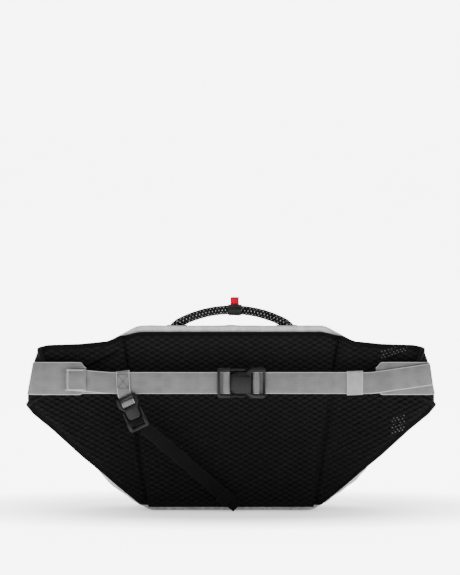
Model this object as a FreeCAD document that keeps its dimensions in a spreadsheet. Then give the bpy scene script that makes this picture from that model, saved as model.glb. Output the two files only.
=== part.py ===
import FreeCAD, Part
import math
import os
import Sketcher

# Waist pack with folded hip wings, a webbing belt, a stabiliser strap and a rope handle.
# Millimetres, +Z up. The wearer's side faces -Y, the pockets face +Y, +X is to the right
# as the back panel is looked at. The origin is the middle of the flat base.

VEC = FreeCAD.Vector
X_AXIS = VEC(1, 0, 0)
Y_AXIS = VEC(0, 1, 0)
Z_AXIS = VEC(0, 0, 1)

doc = FreeCAD.newDocument("waist_pack")

# ---------------------------------------------------------------- driving sizes

SIZES = [
    # the bag
    ("base_half", 98, "half width of the flat base"),
    ("belly_half", 178, "half width at the widest level"),
    ("belly_rise", 73, "height of the widest level"),
    ("shoulder_half", 146, "half width at the shoulders"),
    ("shoulder_drop", 19, "how far the shoulder lies below the crown"),
    ("crown_half", 110, "half width of the flat crown"),
    ("crown_rise", 218, "height of the crown at the back"),
    ("bag_deep", 80.8, "depth of the bag, back wall to front face"),
    ("bag_back", 34.8, "inside of the back wall, behind the origin"),
    ("front_draw", 16, "how far the front outline draws in at each side"),
    ("front_drop", 16, "how far the front outline drops at the top"),
    ("wall", 1.2, "laminated shell fabric"),
    ("corner_round", 20, "rounding of the bag's lengthwise corners"),
    ("zip_drop", 50, "how far the main zip lies below the crown"),
    ("lid_line", 14, "lid hinge seam, behind the origin"),
    ("gap", 0.3, "clearance between pieces that move"),
    ("lining", 0.4, "lining on the back wall"),
    # back panel
    ("foam_thick", 7.6, "back panel foam"),
    ("mesh_thick", 2, "quilted back mesh"),
    ("panel_low_half", 97, "half width of the panel at the bottom"),
    ("panel_top_half", 131, "half width of the panel at the top"),
    ("panel_low", 4.7, "bottom edge of the panel"),
    ("panel_drop", 6, "how far the panel's top lies below the crown"),
    ("panel_inset", 3, "how far the foam stops short of the panel edge"),
    ("panel_round", 12, "rounding of the panel's top corners"),
    ("tape_thick", 0.6, "binding tape"),
    ("tape_wide", 7, "binding tape width"),
    # hip wings
    ("pack_half", 240, "half of the overall width"),
    ("wing_lean", 12, "forward lean of a wing, degrees"),
    ("wing_back", 36.7, "back of a wing at its seam, in front of the origin"),
    ("wing_step", 1.5, "how far beyond the panel a wing starts at the bottom"),
    ("wing_step_top", 1, "how far beyond the panel a wing starts at the top"),
    ("wing_root_low", 8, "lowest corner of a wing"),
    ("wing_drop", 11, "how far a wing's top lies below the panel's top"),
    ("wing_knee_half", 152, "first bend of the lower edge, sideways"),
    ("wing_knee_low", 47, "first bend of the lower edge, height"),
    ("elbow_in", 33, "second bend of the lower edge, in from the fold"),
    ("elbow_drop", 28, "second bend of the lower edge, below the fold's corner"),
    ("tip_drop", 32.5, "lower corner of the fold, below the band's middle"),
    ("tip_top_drop", 7, "upper corner of the fold, below the wing's top"),
    ("tip_top_in", 13, "upper corner of the fold, in from its lower corner"),
    ("fold_inner", 1.2, "inner radius of the fold"),
    ("wing_mesh", 1.5, "quilted wing mesh"),
    ("wing_foam", 4, "wing foam"),
    ("wing_cover", 1.5, "wing outer fabric"),
    ("flap_run", 58, "length of the folded tip"),
    ("flap_notch", 24, "how far the folded tip tapers from the fold"),
    # hip bands
    ("band_wide", 38, "band webbing width"),
    ("band_thick", 1.2, "band webbing thickness"),
    ("band_lift", 5.1, "how far the band's middle lies above the belt's"),
    ("band_long", 72.5, "how far the band reaches in from the fold"),
    ("band_chamfer", 6.5, "cut corners of the band end"),
    ("band_back_run", 46, "how far the band runs back along the wing"),
    # belt
    ("belt_wide", 25, "belt webbing width"),
    ("belt_thick", 1.4, "belt webbing thickness"),
    ("belt_drop", 59.6, "how far the belt's middle lies below the panel's top"),
    ("belt_in", 8, "how far the belt's outer ends stop short of the fold"),
    ("belt_slope", 69, "length of the right belt's climbing end"),
    ("belt_climb", 10, "how far the right belt's end climbs"),
    ("belt_stop", 60, "free end of the left sewn layer"),
    ("tail_short", 41, "how far the left tail stops short of the belt's end"),
    ("hem_long", 23.4, "folded hem at the left tail"),
    ("hem_thick", 2.6, "extra thickness of the hem"),
    ("keeper_in", 33.5, "belt keeper, in from the band's end"),
    ("keeper_long", 18.5, "belt keeper length"),
    ("keeper_thick", 1.2, "belt keeper elastic"),
    # both buckles
    ("end_bar", 3.2, "outer bar of a buckle half"),
    ("web_play", 0.5, "play of the webbing in a buckle, on each side"),
    ("buckle_cut", 2, "cut corners of a buckle"),
    ("half_gap", 0.9, "gap between the two halves of a buckle"),
    ("half_narrow", 0.2, "how much narrower the prong half is, on each side"),
    ("half_thin", 1.6, "how much thinner the prong half is"),
    # main buckle
    ("main_x", 12, "middle of the main buckle, sideways"),
    ("main_bar_back", 1.92, "back of the main buckle's webbing bar, behind its middle"),
    ("main_long", 55.4, "length of the main buckle"),
    ("main_side", 5, "how far the main buckle stands out beyond the webbing on each side"),
    ("main_thick", 8.4, "thickness of the main buckle"),
    ("main_block", 23.5, "length of the receiving block"),
    ("main_block_at", 12.1, "start of the receiving block before the middle"),
    ("main_block_in", 5.4, "how far the block lies in from the buckle's side"),
    ("main_bar", 6, "length taken by the webbing bar"),
    ("main_slot", 4.3, "webbing slot"),
    ("main_bar_thick", 2.2, "thickness of the webbing bar"),
    ("main_end_back", 0.4, "how far the main buckle's end bar lies in from its back"),
    ("bar_past", 0.4, "how far the belt passes the bar before it turns back"),
    ("bar_run", 3.2, "how far beyond the bar the belt lies flat again"),
    ("hook_thin", 0.6, "how much thinner the belt lies inside the bar"),
    ("main_rail", 2, "thickness of a prong"),
    ("main_rail_in", 2.2, "prong centre, in from the buckle's side"),
    ("main_reach", 4.5, "how far the prongs reach past the middle"),
    # stabiliser buckle
    ("small_x", 113.3, "middle of the small buckle, to the left"),
    ("small_drop", 21.6, "middle of the small buckle, below the belt"),
    ("small_turn", 115, "turn of the small buckle from level, degrees"),
    ("small_long", 41.5, "length of the small buckle"),
    ("small_side", 4.7, "how far the small buckle stands out beyond the webbing on each side"),
    ("small_thick", 7, "thickness of the small buckle"),
    ("small_block", 14.6, "length of the receiving block"),
    ("small_block_at", 7.3, "start of the receiving block before the middle"),
    ("small_block_in", 4.6, "how far the block lies in from the buckle's side"),
    ("small_bar", 4.6, "length taken by the webbing bar"),
    ("small_slot", 3.8, "webbing slot"),
    ("small_bar_thick", 2, "thickness of the webbing bar"),
    ("small_end_thick", 2.8, "thickness of the end bar"),
    ("small_rail", 1.8, "thickness of a prong"),
    ("small_rail_in", 1.8, "prong centre, in from the buckle's side"),
    ("small_reach", 3.4, "how far the prongs reach past the middle"),
    # stabiliser strap
    ("strap_wide", 15, "stabiliser webbing width"),
    ("strap_thick", 1.2, "stabiliser webbing thickness"),
    ("strap_in", 14.3, "upper end of the strap, in from the small buckle's middle"),
    ("strap_drop", 17.7, "upper end of the strap, below the small buckle's middle"),
    ("strap_foot_x", 5, "lower end of the strap, to the right"),
    ("strap_foot_rise", 6.5, "lower end of the strap, height"),
    ("strap_keeper_back", 10, "keeper distance from the lower end"),
    ("strap_keeper_long", 13, "strap keeper length"),
    ("strap_keeper_thick", 1, "strap keeper elastic"),
    ("loop_out", 11.7, "middle of the stabiliser loop, out from the small buckle's middle"),
    # handle
    ("rope_round", 5.25, "radius of the handle rope"),
    ("handle_half", 65, "half of the handle's span"),
    ("handle_mid", 1, "middle of the handle, sideways"),
    ("handle_y", 24, "handle, in front of the origin"),
    ("handle_rise", 12.2, "rise of the rope's middle above its ends"),
    ("sleeve_wall", 1.4, "wall of the label sleeve"),
    ("sleeve_long", 15.8, "length of the label sleeve"),
    ("sleeve_at", 3.4, "label sleeve, right of the handle's middle"),
    ("tab_wide", 9.9, "red tab width"),
    ("tab_high", 8.6, "red tab height"),
    ("tab_thick", 1.6, "red tab thickness"),
    ("anchor_long", 24, "handle anchor patch length"),
    ("anchor_proud", 0.6, "how far an anchor patch stands above the crown"),
    ("anchor_wide", 12, "handle anchor patch width"),
    # zips and front pocket
    ("zip_half", 118, "half length of the main zip across the front"),
    ("zip_tape", 8, "zip tape height on each side of the teeth"),
    ("zip_thick", 0.8, "zip tape thickness"),
    ("main_zip_at", 90, "main slider at rest, to the left"),
    ("pocket_low_half", 84, "half width of the pocket's bottom"),
    ("pocket_mid_half", 116, "half width of the pocket's widest level"),
    ("pocket_top_half", 110, "half width of the pocket's top"),
    ("pocket_low", 22, "bottom of the front pocket"),
    ("pocket_mid", 66, "widest level of the front pocket"),
    ("pocket_drop", 34, "top of the front pocket, below the main zip"),
    ("pocket_deep", 10, "how far the pocket stands out"),
    ("pocket_zip_in", 14, "how far the pocket zip stops short of the pocket's top corners"),
    ("pocket_zip_drop", 11, "pocket zip, below the pocket's top"),
    ("pocket_zip_at", 70, "pocket slider at rest, to the left"),
    ("slider_wide", 8, "zip slider width"),
    ("slider_high", 11, "zip slider height"),
    ("slider_thick", 3, "zip slider thickness"),
    ("bridge_half", 1.2, "half width of the slider's bridge"),
    ("bridge_stand", 2.6, "how far the bridge stands out"),
    ("pull_wide", 7, "zip pull width"),
    ("pull_long", 24, "zip pull length"),
    ("pull_thick", 1, "zip pull thickness"),
]

sheet = doc.addObject("Spreadsheet::Sheet", "dims")
for row, (alias, value, note) in enumerate(SIZES, start=1):
    sheet.set(f"A{row}", note)
    sheet.set(f"B{row}", str(value))
    sheet.setAlias(f"B{row}", alias)
doc.recompute()


def size(alias):
    """The number that a cell of the sheet holds."""
    return float(sheet.get(alias))


def worked(expression):
    """The number that an expression of the sheet's cells gives."""
    return float(sheet.evalExpression(expression))


# ---------------------------------------------------------------- places that follow other pieces

SHOULDER_RISE = "(dims.crown_rise - dims.shoulder_drop)"
ZIP_RISE = "(dims.crown_rise - dims.zip_drop)"
PANEL_TOP = "(dims.crown_rise - dims.panel_drop)"
WING_ROOT_HALF = "(dims.panel_low_half + dims.wing_step)"
WING_ROOT_TOP_HALF = "(dims.panel_top_half + dims.wing_step_top)"
WING_ROOT_TOP = f"({PANEL_TOP} - dims.wing_drop)"
WING_ELBOW_HALF = "(dims.pack_half - dims.elbow_in)"
BELT_RISE = f"({PANEL_TOP} - dims.belt_drop)"
BAND_RISE = f"({BELT_RISE} + dims.band_lift)"
TIP_LOW = f"({BAND_RISE} - dims.tip_drop)"
WING_ELBOW_LOW = f"({TIP_LOW} - dims.elbow_drop)"
TIP_TOP = f"({WING_ROOT_TOP} - dims.tip_top_drop)"
TIP_TOP_HALF = "(dims.pack_half - dims.tip_top_in)"
BAND_END_HALF = "(dims.pack_half - dims.band_long)"
BELT_END = "(dims.pack_half - dims.belt_in)"
BELT_BEND = f"({BELT_END} - dims.belt_slope)"
TAIL_LEFT = f"({BELT_END} - dims.tail_short)"
KEEPER_LEFT = f"({BAND_END_HALF} - dims.keeper_in)"
SMALL_RISE = f"({BELT_RISE} - dims.belt_wide / 2 - dims.small_drop)"
STRAP_TOP_X = "(dims.small_x - dims.strap_in)"
STRAP_TOP_RISE = f"({SMALL_RISE} - dims.strap_drop)"
LOOP_X = "(dims.small_x + dims.loop_out)"
HANDLE_FOOT = "(dims.crown_rise + dims.rope_round + dims.tape_thick + dims.gap)"
SLEEVE_ROUND = "(dims.rope_round + dims.sleeve_wall)"
POCKET_TOP = f"({ZIP_RISE} - dims.pocket_drop)"
POCKET_ZIP_RISE = f"({POCKET_TOP} - dims.pocket_zip_drop)"
POCKET_ZIP_HALF = "(dims.pocket_top_half - dims.pocket_zip_in)"

# ---------------------------------------------------------------- modelling helpers

NODES = []


def node(obj, label):
    """Gives a finished sub-part the name that it is written under."""
    obj.Label = label
    NODES.append(obj)
    return obj


def bind(obj, **expressions):
    """Ties properties of an object to the sheet; a double underscore stands for a dot."""
    for key, expression in expressions.items():
        obj.setExpression(key.replace("__", "."), expression)
    return obj


def place(obj, x="0", y="0", z="0"):
    return bind(obj, Placement__Base__x=x, Placement__Base__y=y, Placement__Base__z=z)


def new_body(name):
    return doc.addObject("PartDesign::Body", name)


def origin_plane(body, role):
    return [plane for plane in body.Origin.OriginFeatures if plane.Role == role][0]


def outline(body, name, role, corners, offset="0"):
    """A closed polygon on an origin plane of the body; each corner is two expressions."""
    sketch = body.newObject("Sketcher::SketchObject", name)
    sketch.AttachmentSupport = (origin_plane(body, role), [""])
    sketch.MapMode = "FlatFace"
    sketch.setExpression("AttachmentOffset.Base.z", offset)
    count = len(corners)
    ring = [VEC(50 * math.cos(2 * math.pi * i / count), 50 * math.sin(2 * math.pi * i / count), 0)
            for i in range(count)]
    for i in range(count):
        sketch.addGeometry(Part.LineSegment(ring[i], ring[(i + 1) % count]), False)
    for i in range(count):
        sketch.addConstraint(Sketcher.Constraint("Coincident", i, 2, (i + 1) % count, 1))
    for i, (across, up) in enumerate(corners):
        fix_point(sketch, i, 1, ring[i], across, up)
    return sketch


def fix_point(sketch, geometry, end, start, across, up):
    """Holds one end of a sketch line at two expressions, measured from the origin."""
    for kind, value, expression in (("DistanceX", start.x, across), ("DistanceY", start.y, up)):
        index = sketch.addConstraint(Sketcher.Constraint(kind, -1, 1, geometry, end, value))
        sketch.setExpression(f"Constraints[{index}]", expression)


def mirrored(corners):
    """The corners of a right half, followed by their mirror images, as one closed outline."""
    return corners + [(f"-({across})", up) for across, up in reversed(corners)]


def pad(body, sketch, name, length, symmetric=False):
    feature = body.newObject("PartDesign::Pad", name)
    feature.Profile = (sketch, [""])
    if symmetric:
        feature.SideType = "Symmetric"
    feature.setExpression("Length", length)
    return feature


def plate(name, corners, front, thickness):
    """A plate that faces -Y: its outline in X and Z, its +Y face and its thickness."""
    body = new_body(name)
    sketch = outline(body, name + "_outline", "XZ_Plane", corners, f"-({front})")
    pad(body, sketch, name + "_pad", thickness)
    return body


def round_edges(body, name, radius, chosen):
    """Rounds the edges of the body's last feature that the test picks."""
    doc.recompute()
    base = body.Tip
    names = [f"Edge{i}" for i, edge in enumerate(base.Shape.Edges, start=1) if chosen(edge)]
    fillet = body.newObject("PartDesign::Fillet", name)
    fillet.Base = (base, names)
    fillet.setExpression("Radius", radius)
    return fillet


def runs_along(edge, axis):
    """True for a straight edge that runs mostly along the axis."""
    along = edge.lastVertex().Point - edge.firstVertex().Point
    straight = edge.Length < 1.001 * along.Length
    return straight and abs(along.dot(axis)) > 0.85 * along.Length


def box(name, corner, lengths):
    """A Part box with its low corner and side lengths tied to the sheet."""
    block = doc.addObject("Part::Box", name)
    place(block, *corner)
    return bind(block, Length=lengths[0], Width=lengths[1], Height=lengths[2])


def boolean(kind, name, base, tool):
    result = doc.addObject(f"Part::{kind}", name)
    result.Base = base
    result.Tool = tool
    return result


def mirror(name, source):
    result = doc.addObject("Part::Mirroring", name)
    result.Source = source
    result.Normal = (1, 0, 0)
    return result


def pair(name, right):
    """Names a right-hand piece and adds its left-hand twin."""
    node(right, name + "_right")
    node(mirror(name + "_mirror", right), name + "_left")


def add_block(body, name, low, high, cut=False):
    """Adds or cuts a block between two corners given as expressions."""
    kind = "PartDesign::SubtractiveBox" if cut else "PartDesign::AdditiveBox"
    block = body.newObject(kind, name)
    place(block, *low)
    spans = [f"({b}) - ({a})" for a, b in zip(low, high)]
    return bind(block, Length=spans[0], Width=spans[1], Height=spans[2])


# ---------------------------------------------------------------- bag shell

BAG_RIGHT = [
    ("dims.base_half", "0"),
    ("dims.belly_half", "dims.belly_rise"),
    ("dims.shoulder_half", SHOULDER_RISE),
    ("dims.crown_half", "dims.crown_rise"),
]


def sunk(corners):
    """The outline with its base lowered a little, so that the base can be cut flat."""
    return [(x, "-dims.gap" if z == "0" else z) for x, z in corners]


def loft_body(name, sections, radius):
    """A solid between outlines that face -Y, with its lengthwise corners rounded."""
    body = new_body(name)
    sketches = [outline(body, f"{name}_outline_{i}", "XZ_Plane", mirrored(corners), f"-({y})")
                for i, (corners, y) in enumerate(sections)]
    loft = body.newObject("PartDesign::AdditiveLoft", name + "_loft")
    loft.Profile = (sketches[0], [""])
    loft.Sections = [(sketch, [""]) for sketch in sketches[1:]]
    loft.Ruled = True
    round_edges(body, name + "_corners", radius, lambda edge: runs_along(edge, Y_AXIS))
    return body


INNER_RIGHT = [
    ("dims.base_half - dims.wall", "dims.wall"),
    ("dims.belly_half - 2 * dims.wall", "dims.belly_rise"),
    ("dims.shoulder_half - dims.wall", f"{SHOULDER_RISE} - dims.wall"),
    ("dims.crown_half - dims.wall", "dims.crown_rise - dims.wall"),
]

BAG_FRONT = "(dims.bag_deep - dims.bag_back)"
BAG_INNER_FRONT = "(dims.bag_deep - dims.bag_back - dims.wall)"
front_right = [(f"{x} - dims.front_draw", z if z == "0" else f"{z} - dims.front_drop")
               for x, z in BAG_RIGHT]
inner_front_right = [(f"{x} - dims.front_draw", z if z == "dims.wall" else f"{z} - dims.front_drop")
                     for x, z in INNER_RIGHT]

shell_outer = loft_body("shell_outer", [(sunk(front_right), BAG_FRONT),
                                        (sunk(BAG_RIGHT), "-dims.bag_back")],
                        "dims.corner_round")
shell_inner = loft_body("shell_inner", [(inner_front_right, BAG_INNER_FRONT),
                                        (INNER_RIGHT, "-dims.bag_back")],
                        "dims.corner_round - dims.wall")
shell = boolean("Cut", "shell", shell_outer, shell_inner)

WIDE = ("-dims.pack_half", "2 * dims.pack_half")


def shell_panel(name, y_low, y_high, z_low, z_high):
    """The part of the shell between two depths and two heights."""
    region = box(name + "_region", (WIDE[0], y_low, z_low),
                 (WIDE[1], f"({y_high}) - ({y_low})", f"({z_high}) - ({z_low})"))
    return node(boolean("Common", name + "_cut", shell, region), name)


LID_BACK = "(dims.gap - dims.lid_line)"
LID_LOW = f"({ZIP_RISE} + dims.gap)"
shell_panel("gusset", "-dims.bag_back", BAG_INNER_FRONT, "0", ZIP_RISE)
shell_panel("front_panel", BAG_INNER_FRONT, BAG_FRONT, "0", ZIP_RISE)
shell_panel("top_collar", "-dims.bag_back", "-dims.lid_line", ZIP_RISE, "dims.crown_rise")
shell_panel("lid", LID_BACK, BAG_FRONT, LID_LOW, "dims.crown_rise")

back_wall = plate("back_wall_plate", mirrored(BAG_RIGHT), "-dims.bag_back", "dims.wall + dims.lining")
round_edges(back_wall, "back_wall_corners", "dims.corner_round", lambda edge: runs_along(edge, Y_AXIS))
node(back_wall, "back_wall")
WALL_BACK = "(dims.bag_back + dims.wall + dims.lining)"

# ---------------------------------------------------------------- back panel

PANEL_RIGHT = [("dims.panel_low_half", "dims.panel_low"), ("dims.panel_top_half", PANEL_TOP)]
FOAM_RIGHT = [("dims.panel_low_half - dims.panel_inset", "dims.panel_low + dims.panel_inset"),
              ("dims.panel_top_half - dims.panel_inset", f"{PANEL_TOP} - dims.panel_inset")]


def top_corner(edge):
    """An edge through the panel's thickness at one of its upper corners."""
    return runs_along(edge, Y_AXIS) and edge.CenterOfMass.z > worked(ZIP_RISE)


back_foam = plate("back_foam_plate", mirrored(FOAM_RIGHT), f"-{WALL_BACK}", "dims.foam_thick")
round_edges(back_foam, "back_foam_corners", "dims.panel_round - dims.panel_inset / 2", top_corner)
node(back_foam, "back_panel_foam")

MESH_BACK = f"({WALL_BACK} + dims.foam_thick)"
back_mesh = plate("back_mesh_plate", mirrored(PANEL_RIGHT), f"-{MESH_BACK}", "dims.mesh_thick")
round_edges(back_mesh, "back_mesh_corners", "dims.panel_round", top_corner)
node(back_mesh, "back_panel_mesh")

PANEL_FACE = f"({MESH_BACK} + dims.mesh_thick)"
top_binding = plate("top_binding_plate", mirrored([
    ("dims.panel_top_half - dims.panel_round", f"{PANEL_TOP} - dims.tape_wide"),
    ("dims.panel_top_half - dims.panel_round", PANEL_TOP)]), f"-{PANEL_FACE}", "dims.tape_thick")
node(top_binding, "back_panel_binding")

# ---------------------------------------------------------------- hip wings

FOLD_MESH = "(dims.fold_inner + dims.wing_mesh)"
FOLD_FOAM = f"({FOLD_MESH} + dims.wing_foam)"
FOLD_COVER = f"({FOLD_FOAM} + dims.wing_cover)"
FOLD_BAND = f"({FOLD_COVER} + dims.gap / 2)"
FOLD_OUT = f"({FOLD_BAND} + dims.band_thick)"
FOLD_X = f"(dims.pack_half - {FOLD_OUT})"
WING_RUN = f"(({FOLD_X} - {WING_ROOT_HALF}) / cos(dims.wing_lean))"
FOLD_Y = (f"(dims.wing_back + ({FOLD_X} - {WING_ROOT_HALF}) * tan(dims.wing_lean)"
          f" + {FOLD_COVER} / cos(dims.wing_lean))")


def ribbon(name, inner, outer, wing_run, flap_run):
    """A layer that runs out along the wing, round the fold and back along the tip, full height."""
    body = new_body(name)
    sketch = body.newObject("Sketcher::SketchObject", name + "_plan")
    sketch.AttachmentSupport = (origin_plane(body, "XY_Plane"), [""])
    sketch.MapMode = "FlatFace"
    lean = math.radians(size("wing_lean"))
    rough = {"outer": 8.0, "inner": 4.0}
    away = VEC(-math.cos(lean), math.sin(lean), 0)

    def top_of_arc(radius):
        return VEC(radius * math.sin(lean), radius * math.cos(lean), 0)

    top_out, top_in = top_of_arc(rough["outer"]), top_of_arc(rough["inner"])
    far_out, far_in = top_out + away * 60, top_in + away * 60
    low_out, low_in = VEC(0, -rough["outer"], 0), VEC(0, -rough["inner"], 0)
    tip_out, tip_in = low_out - VEC(40, 0, 0), low_in - VEC(40, 0, 0)

    def arc(radius):
        circle = Part.Circle(VEC(0, 0, 0), Z_AXIS, radius)
        return Part.ArcOfCircle(circle, -math.pi / 2, math.pi / 2 - lean)

    pieces = [
        Part.LineSegment(far_out, top_out),
        arc(rough["outer"]),
        Part.LineSegment(low_out, tip_out),
        Part.LineSegment(tip_out, tip_in),
        Part.LineSegment(tip_in, low_in),
        arc(rough["inner"]),
        Part.LineSegment(top_in, far_in),
        Part.LineSegment(far_in, far_out),
    ]
    sketch.addGeometry(pieces, False)
    meetings = [(0, 2, 1, 2), (1, 1, 2, 1), (2, 2, 3, 1), (3, 2, 4, 1),
                (4, 2, 5, 1), (5, 2, 6, 1), (6, 2, 7, 1), (7, 2, 0, 1)]
    for meeting in meetings:
        sketch.addConstraint(Sketcher.Constraint("Coincident", *meeting))
    for edge, radius, name_of in ((1, outer, "outer"), (5, inner, "inner")):
        sketch.addConstraint(Sketcher.Constraint("Coincident", edge, 3, -1, 1))
        index = sketch.addConstraint(Sketcher.Constraint("Radius", edge, rough[name_of]))
        sketch.setExpression(f"Constraints[{index}]", radius)
        sketch.addConstraint(Sketcher.Constraint("PointOnObject", edge, 1, -2))
        index = sketch.addConstraint(
            Sketcher.Constraint("DistanceX", -1, 1, edge, 2, top_of_arc(rough[name_of]).x))
        sketch.setExpression(f"Constraints[{index}]", f"({radius}) * sin(dims.wing_lean)")
    for edge, end, radius, start in ((0, 1, outer, far_out), (6, 2, inner, far_in)):
        fix_point(sketch, edge, end, start,
                  f"({radius}) * sin(dims.wing_lean) - ({wing_run}) * cos(dims.wing_lean)",
                  f"({radius}) * cos(dims.wing_lean) + ({wing_run}) * sin(dims.wing_lean)")
    for edge, end, radius, start in ((2, 2, outer, tip_out), (4, 1, inner, tip_in)):
        fix_point(sketch, edge, end, start, f"-({flap_run})", f"-({radius})")
    pad(body, sketch, name + "_pad", "dims.crown_rise")
    place(body, FOLD_X, f"-{FOLD_Y}")
    return body


WING_OUTLINE = [
    (WING_ROOT_HALF, "dims.wing_root_low"),
    (f"{WING_ROOT_HALF} + dims.wing_root_low", "dims.wing_root_low"),
    ("dims.wing_knee_half", "dims.wing_knee_low"),
    (WING_ELBOW_HALF, WING_ELBOW_LOW),
    ("dims.pack_half", TIP_LOW),
    (TIP_TOP_HALF, TIP_TOP),
    (WING_ROOT_TOP_HALF, WING_ROOT_TOP),
]
FLAP_OUTLINE = [
    ("dims.pack_half", TIP_LOW),
    (TIP_TOP_HALF, TIP_TOP),
    ("dims.pack_half - dims.flap_notch", f"{BAND_RISE} + dims.band_wide / 2"),
    (BAND_END_HALF, f"{BAND_RISE} + dims.band_wide / 2"),
    (BAND_END_HALF, f"{BAND_RISE} - dims.band_wide / 2"),
    ("dims.pack_half - dims.flap_notch", f"{BAND_RISE} - dims.band_wide / 2"),
]
wing_face = plate("wing_face", WING_OUTLINE, "0", FOLD_Y)
flap_face = plate("flap_face", FLAP_OUTLINE, f"-{FOLD_Y}", "dims.pack_half / 8")
wing_shape = boolean("Fuse", "wing_shape", wing_face, flap_face)

for layer, inner, outer in (("mesh", "dims.fold_inner", FOLD_MESH),
                            ("foam", FOLD_MESH, FOLD_FOAM),
                            ("cover", FOLD_FOAM, FOLD_COVER)):
    strip = ribbon(f"wing_{layer}_strip", inner, outer, WING_RUN, "dims.flap_run")
    pair(f"wing_{layer}", boolean("Common", f"wing_{layer}_cut", strip, wing_shape))

# binding along the wing's lower and upper edges, sewn on the mesh side
LOWER_EDGE = WING_OUTLINE[1:5]
UPPER_EDGE = WING_OUTLINE[5:]
LOWER_STRIP = LOWER_EDGE + [(x, f"{z} + dims.tape_wide * 4 / 3") for x, z in reversed(LOWER_EDGE)]
UPPER_STRIP = UPPER_EDGE + [(x, f"{z} - dims.tape_wide") for x, z in reversed(UPPER_EDGE)]
binding_layer = ribbon("wing_binding_strip", "dims.fold_inner - dims.tape_thick", "dims.fold_inner",
                       WING_RUN, "dims.flap_run")
lower_face = plate("lower_edge_face", LOWER_STRIP, "0", FOLD_Y)
upper_face = plate("upper_edge_face", UPPER_STRIP, "0", FOLD_Y)
edge_faces = boolean("Fuse", "edge_faces", lower_face, upper_face)
pair("wing_binding", boolean("Common", "wing_binding_cut", binding_layer, edge_faces))

# wide webbing band round each fold, with cut corners at its inner end
BAND_OUTLINE = [
    ("dims.pack_half + 1", f"{BAND_RISE} - dims.band_wide / 2"),
    ("dims.pack_half + 1", f"{BAND_RISE} + dims.band_wide / 2"),
    (f"{BAND_END_HALF} + dims.band_chamfer", f"{BAND_RISE} + dims.band_wide / 2"),
    (BAND_END_HALF, f"{BAND_RISE} + dims.band_wide / 2 - dims.band_chamfer"),
    (BAND_END_HALF, f"{BAND_RISE} - dims.band_wide / 2 + dims.band_chamfer"),
    (f"{BAND_END_HALF} + dims.band_chamfer", f"{BAND_RISE} - dims.band_wide / 2"),
]
band_face = plate("band_face", BAND_OUTLINE, "0", f"{FOLD_Y} + dims.pack_half / 8")
band_strip = ribbon("band_strip", FOLD_BAND, FOLD_OUT, "dims.band_back_run",
                    f"{FOLD_X} - {BAND_END_HALF}")
pair("hip_band", boolean("Common", "hip_band_cut", band_strip, band_face))

# ---------------------------------------------------------------- belt

BELT_LOW = f"({BELT_RISE} - dims.belt_wide / 2)"
# the sewn layer lies on the bands, the tail layer in front of it
SEWN_IN = f"({FOLD_Y} + {FOLD_OUT} + dims.gap)"
SEWN_OUT = f"({SEWN_IN} + dims.belt_thick)"
TAIL_IN = f"({SEWN_OUT} + dims.gap)"
TAIL_OUT = f"({TAIL_IN} + dims.belt_thick)"
# the webbing bar of a buckle half and the wrap over it
BAR_BACK = TAIL_IN
BAR_FRONT = f"({BAR_BACK} + dims.main_bar_thick)"
WRAP_IN = f"({BAR_FRONT} + dims.gap)"
WRAP_OUT = f"({WRAP_IN} + dims.belt_thick)"


def main_at(side, along):
    """The X of a point along the main buckle; side is 1 to the right and -1 to the left."""
    return f"(dims.main_x + {side} * ({along}))"


# along the buckle from its middle, the same on both halves
MAIN_BAR_IN = "(dims.main_long / 2 - dims.main_slot - dims.main_bar - dims.end_bar)"
MAIN_BAR_OUT = "(dims.main_long / 2 - dims.main_slot - dims.end_bar)"


def belt_loop(name, side, sewn_end, tail_end, height):
    """Webbing from a sewn end, round the buckle bar and back along the front to its tail."""
    hook_in = main_at(side, f"{MAIN_BAR_IN} - dims.gap")
    hook_out = main_at(side, f"{MAIN_BAR_IN} - dims.gap - dims.belt_thick + dims.hook_thin")
    over_end = main_at(side, f"{MAIN_BAR_OUT} + dims.bar_past")
    over_inner = main_at(side, MAIN_BAR_OUT)
    under_start = main_at(side, f"{MAIN_BAR_OUT} + dims.bar_run + dims.bar_past")
    under_inner = main_at(side, f"{MAIN_BAR_OUT} + dims.bar_run")
    corners = [
        (sewn_end, f"-{SEWN_IN}"),
        (hook_out, f"-{SEWN_IN}"),
        (hook_out, f"-{WRAP_OUT}"),
        (over_end, f"-{WRAP_OUT}"),
        (under_start, f"-{TAIL_OUT}"),
        (tail_end, f"-{TAIL_OUT}"),
        (tail_end, f"-{TAIL_IN}"),
        (under_inner, f"-{TAIL_IN}"),
        (over_inner, f"-{WRAP_IN}"),
        (hook_in, f"-{WRAP_IN}"),
        (hook_in, f"-{SEWN_OUT}"),
        (sewn_end, f"-{SEWN_OUT}"),
    ]
    body = new_body(name)
    sketch = outline(body, name + "_plan", "XY_Plane", corners, BELT_LOW)
    pad(body, sketch, name + "_pad", height)
    return body


BELT_HIGH = f"({BELT_LOW} + dims.belt_wide)"
right_loop = belt_loop("belt_right_loop", 1, BELT_END, BELT_END,
                       "dims.belt_wide + dims.belt_climb")
right_face = plate("belt_right_face", [
    ("dims.main_x", BELT_LOW),
    (BELT_BEND, BELT_LOW),
    (BELT_END, f"{BELT_LOW} + dims.belt_climb"),
    (BELT_END, f"{BELT_HIGH} + dims.belt_climb"),
    (BELT_BEND, BELT_HIGH),
    ("dims.main_x", BELT_HIGH),
], "0", "dims.pack_half")
node(boolean("Common", "belt_right_cut", right_loop, right_face), "belt_right")
node(belt_loop("belt_left_loop", -1, main_at(-1, "dims.main_long / 2 + 2"), f"-{TAIL_LEFT}",
               "dims.belt_wide"), "belt_tail_left")
node(box("belt_sewn_box", (f"-{BELT_END}", f"-{SEWN_OUT}", BELT_LOW),
         (f"{BELT_END} - dims.belt_stop", "dims.belt_thick", "dims.belt_wide")), "belt_sewn_left")
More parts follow.
